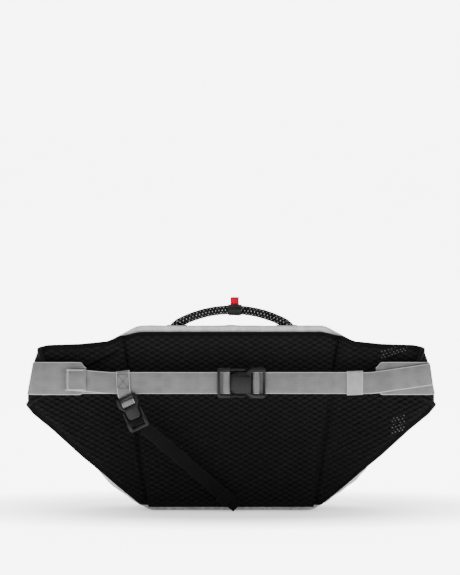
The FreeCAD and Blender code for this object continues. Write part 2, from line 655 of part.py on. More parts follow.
node(box("belt_hem_box", (f"-{TAIL_LEFT}", f"-({TAIL_OUT} + dims.hem_thick)", BELT_LOW),
         ("dims.hem_long", "dims.hem_thick", "dims.belt_wide")), "belt_hem_left")


def sleeve(name, low, high, thick):
    """A flat ring of elastic round a strap that runs along X: inner corners and its thickness."""
    body = new_body(name)
    add_block(body, name + "_outside",
              (low[0], f"({low[1]}) - {thick}", f"({low[2]}) - {thick}"),
              (high[0], f"({high[1]}) + {thick}", f"({high[2]}) + {thick}"))
    add_block(body, name + "_inside", (f"({low[0]}) - 1", low[1], low[2]),
              (f"({high[0]}) + 1", high[1], high[2]), cut=True)
    return body


node(sleeve("keeper_ring", (KEEPER_LEFT, f"-({TAIL_OUT} + dims.gap)", f"{BELT_LOW} - dims.gap"),
            (f"{KEEPER_LEFT} + dims.keeper_long", f"-({SEWN_IN} - dims.gap)",
             f"{BELT_LOW} + dims.belt_wide + dims.gap"), "dims.keeper_thick"), "belt_keeper")

# ---------------------------------------------------------------- side-release buckles


WEB = {"main": "dims.belt_wide", "small": "dims.strap_wide"}
MAIN_Y = f"({BAR_BACK} + dims.main_bar_back)"
SMALL_Y = f"({TAIL_OUT} + dims.gap + dims.small_thick / 2)"


def half_wide(prefix):
    """Half of a buckle's width: its webbing and a side wall."""
    return f"({WEB[prefix]} / 2 + dims.{prefix}_side)"


# how far a cut runs past what it cuts
CUT_PAST = 0.1


def receiving_half(prefix, bar_back, bar_front, end_back, end_front):
    """The half with the block, in the buckle's own frame: X along it, Y through, Z across."""
    p = f"dims.{prefix}_"
    half, wide, block = f"({p}long / 2)", half_wide(prefix), f"({p}block - {p}block_at)"
    block_half = f"({wide} - {p}block_in)"
    web = f"({WEB[prefix]} / 2 + dims.web_play)"
    shoulder = f"({p}reach + 0.5)"
    corners = [
        (f"-{p}block_at", f"{block_half} * 2 / 3"),
        (f"{block_half} * 0.42 - {p}block_at", block_half),
        (shoulder, block_half),
        (f"{shoulder} + {p}block_in + dims.buckle_cut", wide),
        (f"{half} - dims.buckle_cut", wide),
        (half, f"{wide} - dims.buckle_cut"),
    ]
    corners = corners + [(x, f"-({z})") for x, z in reversed(corners)]
    body = new_body(prefix + "_receiver")
    sketch = outline(body, prefix + "_receiver_outline", "XZ_Plane", corners)
    pad(body, sketch, prefix + "_receiver_pad", f"{p}thick", symmetric=True)
    bar_in = f"({half} - {p}slot - {p}bar - dims.end_bar)"
    bar_out = f"({half} - {p}slot - dims.end_bar)"
    deep = f"{p}thick"
    near, far = f"{bar_in} - {CUT_PAST}", f"{bar_out} + {CUT_PAST}"
    cuts = [
        ("gap", (block, f"-{deep}", f"-{web}"), (bar_in, deep, web)),
        ("slot", (bar_out, f"-{deep}", f"-{web}"), (f"{half} - dims.end_bar", deep, web)),
        ("bar_front", (near, f"-{deep}", f"-{web}"), (far, bar_front, web)),
        ("bar_back", (near, bar_back, f"-{web}"), (far, deep, web)),
        ("end_front", (f"{half} - dims.end_bar - {CUT_PAST}", f"-{deep}", f"-{web}"),
         (f"{half} + 1", end_front, web)),
        ("end_back", (f"{half} - dims.end_bar - {CUT_PAST}", end_back, f"-{web}"),
         (f"{half} + 1", deep, web)),
    ]
    for name, low, high in cuts:
        add_block(body, f"{prefix}_receiver_{name}", low, high, cut=True)
    return body


def prong_half(prefix, bar_back, bar_front, end_back, end_front):
    """The half with the webbing ladder that carries the prongs, in the buckle's own frame."""
    p = f"dims.{prefix}_"
    half, wide = f"({p}long / 2)", f"({half_wide(prefix)} - dims.half_narrow)"
    web = f"({WEB[prefix]} / 2 + dims.web_play)"
    start = f"({p}block_at + dims.half_gap)"
    body = new_body(prefix + "_prongs")
    corners = [
        (f"-{start}", wide),
        (f"dims.buckle_cut - {half}", wide),
        (f"-{half}", f"{wide} - dims.buckle_cut"),
    ]
    corners = corners + [(x, f"-({z})") for x, z in reversed(corners)]
    sketch = outline(body, prefix + "_prongs_outline", "XZ_Plane", corners)
    pad(body, sketch, prefix + "_prongs_pad", f"{p}thick - dims.half_thin", symmetric=True)
    bar_in = f"({half} - {p}slot - {p}bar - dims.end_bar)"
    bar_out = f"({half} - {p}slot - dims.end_bar)"
    deep = f"{p}thick"
    near, far = f"-{bar_out} - {CUT_PAST}", f"{CUT_PAST} - {bar_in}"
    cuts = [
        ("gap", (f"-{bar_in}", f"-{deep}", f"-{web}"), ("0", deep, web)),
        ("slot", (f"dims.end_bar - {half}", f"-{deep}", f"-{web}"), (f"-{bar_out}", deep, web)),
        ("bar_front", (near, f"-{deep}", f"-{web}"), (far, bar_front, web)),
        ("bar_back", (near, bar_back, f"-{web}"), (far, deep, web)),
        ("end_front", (f"-{half} - 1", f"-{deep}", f"-{web}"),
         (f"dims.end_bar + {CUT_PAST} - {half}", end_front, web)),
        ("end_back", (f"-{half} - 1", end_back, f"-{web}"),
         (f"dims.end_bar + {CUT_PAST} - {half}", deep, web)),
    ]
    for name, low, high in cuts:
        add_block(body, f"{prefix}_prongs_{name}", low, high, cut=True)
    return body


def prong(prefix, side):
    """One springy side prong; side is 1 above the middle and -1 below it."""
    p = f"dims.{prefix}_"
    body = new_body(f"{prefix}_prong_{'upper' if side > 0 else 'lower'}")
    at = f"({half_wide(prefix)} - {p}rail_in)"
    edges = [f"{side} * ({at} - {p}rail / 2)", f"{side} * ({at} + {p}rail / 2)"]
    low, high = edges if side > 0 else reversed(edges)
    add_block(body, body.Name + "_bar", (f"dims.gap - dims.half_gap - {p}block_at", f"-{p}thick / 3", low),
              (f"{p}reach", f"{p}thick / 3", high))
    return body


def set_buckle(body, x, y, z, turn):
    """Stands a buckle piece at its place, turned about Y."""
    place(body, x, y, z)
    body.Placement.Rotation = FreeCAD.Rotation(Y_AXIS, turn)
    return body


MAIN_PLACE = ("dims.main_x", f"-{MAIN_Y}", BELT_RISE, 0)
SMALL_PLACE = ("-dims.small_x", f"-{SMALL_Y}", SMALL_RISE, -size("small_turn"))
MAIN_BAR = (f"({MAIN_Y} - {BAR_BACK})", f"({MAIN_Y} - {BAR_FRONT})")
MAIN_END = (f"({MAIN_Y} - {TAIL_OUT} - dims.gap)", "-dims.main_thick / 2 + dims.main_end_back")

node(set_buckle(receiving_half("main", *MAIN_BAR, *MAIN_END), *MAIN_PLACE), "main_buckle_receiver")
node(set_buckle(prong_half("main", *MAIN_BAR, *MAIN_END), *MAIN_PLACE), "main_buckle_prong_base")
node(set_buckle(prong("main", 1), *MAIN_PLACE), "main_buckle_prong_upper")
node(set_buckle(prong("main", -1), *MAIN_PLACE), "main_buckle_prong_lower")

SMALL_BAR = ("dims.small_bar_thick / 2", "-dims.small_bar_thick / 2")
SMALL_END = ("dims.small_end_thick / 2", "-dims.small_end_thick / 2")
node(set_buckle(receiving_half("small", *SMALL_BAR, *SMALL_END), *SMALL_PLACE), "strap_buckle_receiver")
node(set_buckle(prong_half("small", *SMALL_BAR, *SMALL_END), *SMALL_PLACE), "strap_buckle_prong_base")
node(set_buckle(prong("small", 1), *SMALL_PLACE), "strap_buckle_prong_upper")
node(set_buckle(prong("small", -1), *SMALL_PLACE), "strap_buckle_prong_lower")


# ---------------------------------------------------------------- stabiliser loop and strap

def bar_ring(name, side, along_in, along_out, stand):
    """Webbing round a bar of the small buckle, in the buckle's own frame."""
    body = new_body(name)
    across = "(dims.strap_wide / 2 - dims.half_narrow)"
    inner = [side + f" * ({along_in})", side + f" * ({along_out})"]
    low, high = inner if side == "1" else reversed(inner)
    low, high = str(low), str(high)
    add_block(body, name + "_outside", (f"{low} - dims.strap_thick", f"-{stand} - dims.strap_thick",
                                        f"-{across}"),
              (f"{high} + dims.strap_thick", f"{stand} + dims.strap_thick", across))
    add_block(body, name + "_inside", (low, f"-{stand}", f"-{across} - 1"),
              (high, stand, f"{across} + 1"), cut=True)
    return set_buckle(body, *SMALL_PLACE)


SMALL_HALF = "(dims.small_long / 2)"
SMALL_BAR_IN = f"({SMALL_HALF} - dims.small_slot - dims.small_bar - dims.end_bar)"
SMALL_BAR_OUT = f"({SMALL_HALF} - dims.small_slot - dims.end_bar)"

# the wrap on the moving half goes round the webbing bar
WRAP_STAND = "(dims.small_bar_thick / 2 + dims.gap)"
node(bar_ring("wrap_ring", "-1", f"{SMALL_BAR_IN} - dims.gap", f"{SMALL_BAR_OUT} + dims.gap", WRAP_STAND),
     "stabiliser_wrap")

# the loop goes round both belt layers above and round the buckle's end bar below
belt_ring = new_body("belt_ring")
loop_half = "dims.strap_wide / 2"
add_block(belt_ring, "belt_ring_outside",
          (f"-{LOOP_X} - {loop_half}", f"-({TAIL_OUT} + dims.gap + dims.strap_thick)",
           f"{BELT_LOW} - dims.gap - dims.strap_thick"),
          (f"-{LOOP_X} + {loop_half}", f"-({SEWN_IN} - dims.gap - dims.strap_thick)",
           f"{BELT_LOW} + dims.belt_wide + dims.gap + dims.strap_thick"))
add_block(belt_ring, "belt_ring_inside",
          (f"-{LOOP_X} - {loop_half} - 1", f"-({TAIL_OUT} + dims.gap)", f"{BELT_LOW} - dims.gap"),
          (f"-{LOOP_X} + {loop_half} + 1", f"-({SEWN_IN} - dims.gap)",
           f"{BELT_LOW} + dims.belt_wide + dims.gap"), cut=True)
end_ring = bar_ring("end_ring", "1", f"{SMALL_HALF} - dims.end_bar - dims.gap",
                    f"{SMALL_HALF} + dims.gap", "(dims.small_end_thick / 2 + dims.gap)")
node(boolean("Fuse", "stabiliser_loop_fuse", belt_ring, end_ring), "stabiliser_loop")

# the strap falls from the small buckle to the bottom seam
STRAP_TOP_Y = f"({SMALL_Y} - {WRAP_STAND} - 1.5 * dims.strap_thick - 3 * dims.gap)"
STRAP_FOOT_Y = (f"({PANEL_FACE} + dims.tape_thick + dims.strap_thick / 2 + 2 * dims.gap"
                " + dims.strap_keeper_thick)")
strap_top = VEC(-worked(STRAP_TOP_X), -worked(STRAP_TOP_Y), worked(STRAP_TOP_RISE))
strap_foot = VEC(size("strap_foot_x"), -worked(STRAP_FOOT_Y), size("strap_foot_rise"))
STRAP_LONG = (f"sqrt(pow({STRAP_TOP_X} + dims.strap_foot_x; 2)"
              f" + pow({STRAP_TOP_Y} - {STRAP_FOOT_Y}; 2)"
              f" + pow({STRAP_TOP_RISE} - dims.strap_foot_rise; 2))")
strap_line = (strap_foot - strap_top).normalize()
strap_across = strap_line.cross(Y_AXIS).normalize()
strap_out = strap_across.cross(strap_line)
strap_turn = FreeCAD.Rotation(strap_line, strap_out, strap_across, "XZY")


def on_strap(body):
    """Lays a piece modelled along X, with Y through and Z across, onto the strap's line."""
    body.Placement = FreeCAD.Placement(strap_top, strap_turn)
    return body


strap_half = "dims.strap_wide / 2"
strap = new_body("strap_body")
add_block(strap, "strap_web", ("0", "-dims.strap_thick / 2", f"-{strap_half}"),
          (STRAP_LONG, "dims.strap_thick / 2", strap_half))
node(on_strap(strap), "stabiliser_strap")

KEEPER_END = f"({STRAP_LONG} - dims.strap_keeper_back)"
keeper = sleeve("strap_keeper_ring",
                (f"{KEEPER_END} - dims.strap_keeper_long", "-dims.strap_thick / 2 - dims.gap",
                 f"-{strap_half} - dims.gap"),
                (KEEPER_END, "dims.strap_thick / 2 + dims.gap", f"{strap_half} + dims.gap"),
                "dims.strap_keeper_thick")
node(on_strap(keeper), "strap_keeper")

# ---------------------------------------------------------------- rope handle

HANDLE_BEND = "((pow(dims.handle_half; 2) + pow(dims.handle_rise; 2)) / (2 * dims.handle_rise))"
bend = (size("handle_half") ** 2 + size("handle_rise") ** 2) / (2 * size("handle_rise"))
HANDLE_CENTRE_Z = f"({HANDLE_FOOT} + dims.handle_rise - {HANDLE_BEND})"


def rope_arc(name, radius, span, middle):
    """A round bar bent along the handle's arc: its radius, its arc length and its middle."""
    arc = doc.addObject("Part::Torus", name)
    bind(arc, Radius1=HANDLE_BEND, Radius2=radius, Angle3=f"({span}) / {HANDLE_BEND} * 180 / pi")
    place(arc, "dims.handle_mid", "-dims.handle_y", HANDLE_CENTRE_Z)
    doc.recompute()
    start = 90 - math.degrees(middle / bend) - arc.Angle3.Value / 2
    arc.Placement.Rotation = FreeCAD.Rotation(X_AXIS, 90) * FreeCAD.Rotation(Z_AXIS, start)
    return arc


rope_span = 2 * bend * math.asin(size("handle_half") / bend)
rope = node(rope_arc("rope_bar", "dims.rope_round", f"{rope_span}", 0), "handle_rope")
sleeve_bar = rope_arc("sleeve_bar", SLEEVE_ROUND, "dims.sleeve_long", size("sleeve_at"))
node(boolean("Cut", "sleeve_cut", sleeve_bar, rope), "handle_label_sleeve")
node(box("tab_box", ("dims.handle_mid + dims.sleeve_at - dims.tab_wide / 2",
                     "-dims.handle_y - dims.tab_thick / 2",
                     f"{HANDLE_FOOT} + dims.handle_rise + {SLEEVE_ROUND}"),
         ("dims.tab_wide", "dims.tab_thick", "dims.tab_high")), "handle_tab")

for side, sign in (("left", "-"), ("right", "")):
    patch = box(f"anchor_{side}_box",
                (f"dims.handle_mid {sign or '+'} dims.handle_half - dims.anchor_long / 2",
                 "-dims.handle_y - dims.anchor_wide / 2", "dims.crown_rise - dims.front_drop / 2"),
                ("dims.anchor_long", "dims.anchor_wide", "dims.front_drop / 2 + dims.anchor_proud"))
    node(boolean("Cut", f"anchor_{side}_cut", patch, shell_outer), f"handle_anchor_{side}")

# ---------------------------------------------------------------- front pocket and zips

POCKET_RIGHT = [("dims.pocket_low_half", "dims.pocket_low"), ("dims.pocket_mid_half", "dims.pocket_mid"),
                ("dims.pocket_top_half", POCKET_TOP)]
POCKET_HOLLOW = [("dims.pocket_low_half - dims.wall", "dims.pocket_low + dims.wall"),
                 ("dims.pocket_mid_half - 2 * dims.wall", "dims.pocket_mid"),
                 ("dims.pocket_top_half - 2 * dims.wall", f"{POCKET_TOP} - dims.wall")]
POCKET_FRONT = f"({BAG_FRONT} + dims.pocket_deep)"
pocket_block = plate("pocket_block", mirrored(POCKET_RIGHT), POCKET_FRONT, "dims.pocket_deep")
round_edges(pocket_block, "pocket_corners", "dims.corner_round / 2",
            lambda edge: runs_along(edge, Y_AXIS))
pocket_space = plate("pocket_space", mirrored(POCKET_HOLLOW), f"{POCKET_FRONT} - dims.wall",
                     "dims.pocket_deep")
node(boolean("Cut", "pocket_cut", pocket_block, pocket_space), "front_pocket")

ZIP_FACE = f"({BAG_FRONT} + dims.zip_thick + dims.gap)"
POCKET_ZIP_FACE = f"({POCKET_FRONT} + dims.zip_thick + dims.gap)"
for label, half, front, low in (
        ("main_zip_tape_lower", "dims.zip_half", BAG_FRONT, f"{ZIP_RISE} - dims.zip_tape"),
        ("main_zip_tape_upper", "dims.zip_half", BAG_FRONT, LID_LOW),
        ("pocket_zip_tape", POCKET_ZIP_HALF, POCKET_FRONT,
         f"{POCKET_ZIP_RISE} - dims.zip_tape / 2")):
    node(box(label + "_box", (f"-{half}", front, low),
             (f"2 * {half}", "dims.zip_thick", "dims.zip_tape")),
         label)


def slider(name, x, face, z):
    """A zip slider with an open bridge on its front, centred on the teeth."""
    body = new_body(name)
    add_block(body, name + "_block", ("-dims.slider_wide / 2", "0", "-dims.slider_high / 2"),
              ("dims.slider_wide / 2", "dims.slider_thick", "dims.slider_high / 2"))
    round_edges(body, name + "_edges", "dims.slider_wide / 5", lambda edge: runs_along(edge, Y_AXIS))
    add_block(body, name + "_bridge", ("-dims.bridge_half", "dims.slider_thick / 2", "-4"),
              ("dims.bridge_half", "dims.slider_thick + dims.bridge_stand", "4"))
    add_block(body, name + "_window", ("-dims.slider_wide", "dims.slider_thick", "-2.5"),
              ("dims.slider_wide", "dims.slider_thick + dims.bridge_stand - 1", "2.5"), cut=True)
    return place(body, x, face, z)


def pull(name, x, face, z):
    """A zip pull that hangs by its cross bar inside the slider's bridge."""
    body = new_body(name)
    half = "dims.pull_wide / 2"
    middle = "(dims.slider_thick + (dims.bridge_stand - 1) / 2)"
    add_block(body, name + "_plate", (f"-{half}", f"{middle} - dims.pull_thick / 2", "-dims.pull_long"),
              (half, f"{middle} + dims.pull_thick / 2", "dims.pull_thick / 2"))
    round_edges(body, name + "_ends", "dims.pull_thick * 2",
                lambda edge: runs_along(edge, Y_AXIS) and edge.CenterOfMass.z < -size("pull_thick"))
    add_block(body, name + "_eye", ("-dims.bridge_half - 0.5", "0", "-dims.pull_long / 3"),
              ("dims.bridge_half + 0.5", "2 * dims.slider_wide", "-dims.pull_thick / 2"), cut=True)
    return place(body, x, face, z)


ZIP_MIDDLE = f"({ZIP_RISE} + dims.gap / 2)"
for label, x, face, z in (("main_zip", "-dims.main_zip_at", ZIP_FACE, ZIP_MIDDLE),
                          ("pocket_zip", "-dims.pocket_zip_at", POCKET_ZIP_FACE, POCKET_ZIP_RISE)):
    node(slider(label + "_slider_body", x, face, z), label + "_slider")
    node(pull(label + "_pull_body", x, face, z), label + "_pull")

# ---------------------------------------------------------------- check and write

doc.recompute()
for obj in doc.Objects:
    if {"Invalid", "Error"} & set(obj.State):
        raise RuntimeError(f"{obj.Name} did not build: {obj.State}")
for obj in NODES:
    if obj.Shape.isNull() or not obj.Shape.isValid() or obj.Shape.Volume < 1:
        raise RuntimeError(f"{obj.Label} has no sound solid")

os.makedirs("parts", exist_ok=True)
for obj in NODES:
    obj.Shape.exportStep(f"parts/{obj.Label}.step")
    print(f"{obj.Label}: {len(obj.Shape.Solids)} solid, {obj.Shape.Volume:.0f} mm3")
print(len(NODES), "sub-parts written")
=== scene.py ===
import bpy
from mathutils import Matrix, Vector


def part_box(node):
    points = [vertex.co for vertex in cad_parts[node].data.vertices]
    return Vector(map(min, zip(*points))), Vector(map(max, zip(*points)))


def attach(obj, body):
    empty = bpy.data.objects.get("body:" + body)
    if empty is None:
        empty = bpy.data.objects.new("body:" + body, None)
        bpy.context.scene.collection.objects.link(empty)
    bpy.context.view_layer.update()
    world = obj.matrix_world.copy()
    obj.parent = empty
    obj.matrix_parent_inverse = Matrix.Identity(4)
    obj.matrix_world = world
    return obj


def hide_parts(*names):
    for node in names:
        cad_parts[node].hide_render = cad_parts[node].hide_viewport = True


bl_info = {
    "name": "Waist pack",
    "version": (1, 0, 0),
    "blender": (4, 5, 0),
    "location": "3D View > Sidebar > Waist pack",
    "description": "Builds the looks of a waist pack with a rope handle around its fixed frame",
    "category": "Add Mesh",
}

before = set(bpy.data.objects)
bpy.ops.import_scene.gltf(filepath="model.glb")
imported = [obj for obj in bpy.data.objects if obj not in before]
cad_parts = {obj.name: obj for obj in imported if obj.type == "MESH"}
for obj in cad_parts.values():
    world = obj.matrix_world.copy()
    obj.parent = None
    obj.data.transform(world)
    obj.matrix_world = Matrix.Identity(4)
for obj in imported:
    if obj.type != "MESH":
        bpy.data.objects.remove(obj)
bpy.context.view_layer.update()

import bisect
import math

import bmesh
import bpy
from mathutils import Matrix, Vector

MM = 0.001


# ------------------------------------------------------------------ sizes and colours

def length(name, description, default_mm, **more):
    """A length property, given in millimetres and kept in metres."""
    return bpy.props.FloatProperty(name=name, description=description, default=default_mm * MM,
                                   min=0.0, unit="LENGTH", precision=4, **more)


def colour(name, description, value):
    """A colour property."""
    return bpy.props.FloatVectorProperty(name=name, description=description, default=value,
                                         subtype="COLOR", size=3, min=0.0, max=1.0)


class PackSizes(bpy.types.PropertyGroup):
    """Sizes of the soft detail that a maker would change."""

    quilt_wide: length("Quilt width", "Width of one quilted diamond", 11.6)
    quilt_high: length("Quilt height", "Height of one quilted diamond", 6.2)
    quilt_deep: length("Quilt depth", "How deep the quilting lines sit", 1.3)
    panel_crown: length("Panel crown", "How far the back panel swells at its middle", 2.0)
    wing_thick: length("Wing thickness", "Thickness of a hip wing", 7.0)
    tape_wide: length("Binding width", "Width of the edge binding on each side", 6.6)
    skin_thick: length("Shell thickness", "Thickness of the shell fabric", 1.2)
    skin_swell: length("Front swell", "How far the filled front panel swells", 1.2)
    webbing_thick: length("Webbing thickness", "Thickness of the belt webbing", 1.4)
    stitch_long: length("Stitch length", "Length of one stitch", 2.6)
    stitch_round: length("Thread radius", "Radius of the sewing thread", 0.22)
    rope_strands: bpy.props.IntProperty(name="Rope strands", default=12, min=4, max=24,
                                        description="Strands that turn each way in the rope")
    rope_turns: bpy.props.FloatProperty(name="Rope turns", default=9.0, min=1.0, max=20.0,
                                        description="Turns of each strand along the handle")


class PackColours(bpy.types.PropertyGroup):
    """Colours of the pack's fabrics and fittings."""

    shell: colour("Shell", "Pale shell fabric", (0.34, 0.34, 0.35))
    lining: colour("Lining", "Inside of the shell", (0.23, 0.23, 0.24))
    mesh: colour("Mesh", "Quilted mesh", (0.0017, 0.0017, 0.0017))
    cover: colour("Cover", "Smooth wing cover", (0.0025, 0.0025, 0.0027))
    binding: colour("Binding", "Edge binding tape", (0.002, 0.002, 0.002))
    webbing: colour("Webbing", "Grey belt webbing", (0.083, 0.083, 0.083))
    selvedge: colour("Selvedge", "Edges of the grey webbing", (0.21, 0.21, 0.21))
    elastic: colour("Elastic", "Grey belt keeper", (0.16, 0.16, 0.16))
    strap: colour("Black webbing", "Stabiliser webbing", (0.0022, 0.0022, 0.0022))
    plastic: colour("Plastic", "Buckle plastic", (0.0018, 0.0018, 0.002))
    rope: colour("Rope", "Dark strands", (0.003, 0.003, 0.003))
    tracer: colour("Tracer", "Pale strands of the rope", (0.3, 0.3, 0.3))
    tab: colour("Tab", "Red woven tab", (0.25, 0.0, 0.012))
    thread: colour("Thread", "Pale sewing thread", (0.55, 0.55, 0.55))
    metal: colour("Zip metal", "Painted zip slider", (0.03, 0.03, 0.032))


def sizes():
    """The pack's sizes."""
    return bpy.context.scene.pack_sizes


def colours():
    """The pack's colours."""
    return bpy.context.scene.pack_colours


# ------------------------------------------------------------------ materials

class Shader:
    """A new node material and short ways to wire it."""

    def __init__(self, name, roughness=0.6, **sockets):
        self.material = bpy.data.materials.new(name)
        self.material.use_nodes = True
        self.tree = self.material.node_tree
        self.nodes = self.tree.nodes
        self.base = self.nodes["Principled BSDF"]
        self.base.inputs["Roughness"].default_value = roughness
        self.base.inputs["Specular IOR Level"].default_value = 0.03
        for key, value in sockets.items():
            self.base.inputs[key.replace("_", " ")].default_value = value
        self.coords = self.nodes.new("ShaderNodeTexCoord")

    def node(self, kind, **values):
        """A new node; a value sets its input if it has one so named, else its property."""
        made = self.nodes.new("ShaderNode" + kind)
        for key, value in values.items():
            if key in made.inputs:
                made.inputs[key].default_value = value
            else:
                setattr(made, key, value)
        return made

    def link(self, source, target):
        """Joins two sockets."""
        self.tree.links.new(source, target)

    def maths(self, operation, first, second):
        """One maths step on sockets or numbers."""
        step = self.node("Math", operation=operation)
        for slot, value in enumerate((first, second)):
            if isinstance(value, (int, float)):
                step.inputs[slot].default_value = value
            else:
                self.link(value, step.inputs[slot])
        return step.outputs[0]

    def texture(self, kind, output, scale, source="Object", stretch=None, **values):
        """A texture on the piece's own coordinates; stretch scales its axes first."""
        made = self.node("Tex" + kind, Scale=scale, **values)
        place = self.coords.outputs[source]
        if stretch:
            mapping = self.node("Mapping")
            mapping.inputs["Scale"].default_value = stretch
            self.link(place, mapping.inputs["Vector"])
            place = mapping.outputs["Vector"]
        self.link(place, made.inputs["Vector"])
        return made.outputs[output]

    def ramp(self, factor, low, high, start=0.0, end=1.0):
        """A colour that runs from low to high."""
        made = self.node("ValToRGB")
        made.color_ramp.elements[0].position = start
        made.color_ramp.elements[1].position = end
        made.color_ramp.elements[0].color = (*low, 1.0)
        made.color_ramp.elements[1].color = (*high, 1.0)
        self.link(factor, made.inputs["Fac"])
        return made.outputs["Color"]

    def colour(self, socket):
        """Sets what gives the base colour."""
        self.link(socket, self.base.inputs["Base Color"])

    def rough(self, factor, low, high):
        """Roughness that runs from low to high with a factor."""
        scale = self.node("MapRange")
        scale.inputs["To Min"].default_value = low
        scale.inputs["To Max"].default_value = high
        self.link(factor, scale.inputs["Value"])
        self.link(scale.outputs["Result"], self.base.inputs["Roughness"])

    def bump(self, height, strength, distance_mm):
        """Relief from a height, over a depth in millimetres."""
        made = self.node("Bump", Strength=strength, Distance=distance_mm * MM)
        self.link(height, made.inputs["Height"])
        self.link(made.outputs["Normal"], self.base.inputs["Normal"])


def shade(value, factor):
    return tuple(min(1.0, channel * factor) for channel in value)


def wave_scale(pitch_mm):
    """The scale at which a band texture repeats every pitch."""
    return 2 * math.pi / (20 * pitch_mm * MM)


def woven(name, value, pitch_mm, roughness=0.75, source="Object", directions="XZ", depth=0.5,
          sheen=0.02, contrast=0.35):
    """Plain weave: threads cross in two directions, with slow changes of tone."""
    shader = Shader(name, roughness, Sheen_Weight=sheen, Sheen_Roughness=0.5)
    threads = [shader.texture("Wave", "Fac", wave_scale(pitch_mm), source, bands_direction=axis)
               for axis in directions]
    height = shader.maths("MULTIPLY", threads[0], threads[1])
    cloud = shader.texture("Noise", "Fac", 22.0, source, Detail=3.0)
    tone = shader.maths("ADD", shader.maths("MULTIPLY", height, contrast),
                        shader.maths("MULTIPLY", cloud, 1.0 - contrast))
    shader.colour(shader.ramp(tone, shade(value, 0.72), shade(value, 1.25), 0.15, 0.8))
    shader.rough(cloud, roughness - 0.08, roughness + 0.08)
    shader.bump(height, depth, pitch_mm * 0.3)
    return shader.material


def coated(name, value):
    """Coated pack cloth: a fine weave under soft dents and short sharp creases, with painted shade in the
    hollows of the dents and along the creases.
    """
    shader = Shader(name, 0.58, Sheen_Weight=0.04, Sheen_Roughness=0.5)
    threads = [shader.texture("Wave", "Fac", wave_scale(0.8), bands_direction=axis) for axis in "XZ"]
    weave = shader.maths("MULTIPLY", *threads)
    dents = shader.texture("Noise", "Fac", 17.0, Detail=2.0, Distortion=0.8)
    folds = shader.texture("Noise", "Fac", 34.0, stretch=(1.0, 1.0, 0.45), Detail=2.5, Distortion=1.6)
    ridge = shader.maths("ABSOLUTE", shader.maths("SUBTRACT", folds, 0.5), 0.0)
    sharp = shader.maths("MINIMUM", shader.maths("MULTIPLY", ridge, 7.0), 1.0)
    # Painted shade: the tone follows the dents and creases of the bump, darker in their hollows.
    tone = shader.maths("ADD", shader.maths("MULTIPLY", weave, 0.15),
                        shader.maths("ADD", shader.maths("MULTIPLY", dents, 0.55),
                                     shader.maths("MULTIPLY", sharp, 0.3)))
    shader.colour(shader.ramp(tone, shade(value, 0.74), shade(value, 1.18), 0.2, 0.75))
    shader.rough(dents, 0.5, 0.68)
    height = shader.maths("ADD", shader.maths("MULTIPLY", dents, 1.4),
                          shader.maths("ADD", shader.maths("MULTIPLY", sharp, 0.22),
                                       shader.maths("MULTIPLY", weave, 0.035)))
    shader.bump(height, 0.75, 3.0)
    return shader.material


def webbing(name, value, edge, edge_mm=0.8, pitch_mm=1.0):
    """Woven tape on its own UV map: U runs along it and V is the distance from its edge."""
    shader = Shader(name, 0.72, Sheen_Weight=0.03, Sheen_Roughness=0.45)
    along = shader.texture("Wave", "Fac", wave_scale(pitch_mm), "UV", bands_direction="X")
    across = shader.texture("Wave", "Fac", wave_scale(pitch_mm * 1.7), "UV", bands_direction="Y")
    diagonal = shader.texture("Wave", "Fac", wave_scale(pitch_mm * 1.3), "UV", bands_direction="DIAGONAL")
    weave = shader.maths("MULTIPLY", along, shader.maths("ADD", shader.maths("MULTIPLY", across, 0.5), 0.5))
    cloud = shader.texture("Noise", "Fac", 60.0, "UV", Detail=4.0)
    fibre = shader.texture("Noise", "Fac", 900.0, "UV", Detail=2.0)
    tone = shader.maths("ADD", shader.maths("MULTIPLY", weave, 0.3),
                        shader.maths("ADD", shader.maths("MULTIPLY", cloud, 0.5),
                                     shader.maths("MULTIPLY", fibre, 0.2)))
    body = shader.ramp(tone, shade(value, 0.72), shade(value, 1.3), 0.3, 0.62)
    split = shader.node("SeparateXYZ")
    shader.link(shader.coords.outputs["UV"], split.inputs["Vector"])
    inner = shader.maths("GREATER_THAN", split.outputs["Y"], edge_mm * MM)
    mix = shader.node("Mix", data_type="RGBA")
    shader.link(inner, mix.inputs["Factor"])
    colour_in = [socket for socket in mix.inputs if socket.type == "RGBA"]
    colour_in[0].default_value = (*edge, 1.0)
    shader.link(body, colour_in[1])
    shader.colour([socket for socket in mix.outputs if socket.type == "RGBA"][0])
    shader.rough(cloud, 0.62, 0.82)
    shader.bump(shader.maths("ADD", weave, shader.maths("MULTIPLY", diagonal, 0.4)), 0.45, 0.25)
    return shader.material


def quilt_crowns(shader):
    """0 on the quilting lines and 1 on the crowns between them."""
    s = sizes()
    split = shader.node("SeparateXYZ")
    shader.link(shader.coords.outputs["Object"], split.inputs["Vector"])
    across = shader.maths("MULTIPLY", split.outputs["X"], math.pi / s.quilt_wide)
    up = shader.maths("MULTIPLY", split.outputs["Z"], math.pi / s.quilt_high)
    lines = [shader.maths("SINE", shader.maths(way, across, up), 0.0) for way in ("ADD", "SUBTRACT")]
    return shader.maths("POWER", shader.maths("ABSOLUTE", shader.maths("MULTIPLY", *lines), 0.0), 0.35)


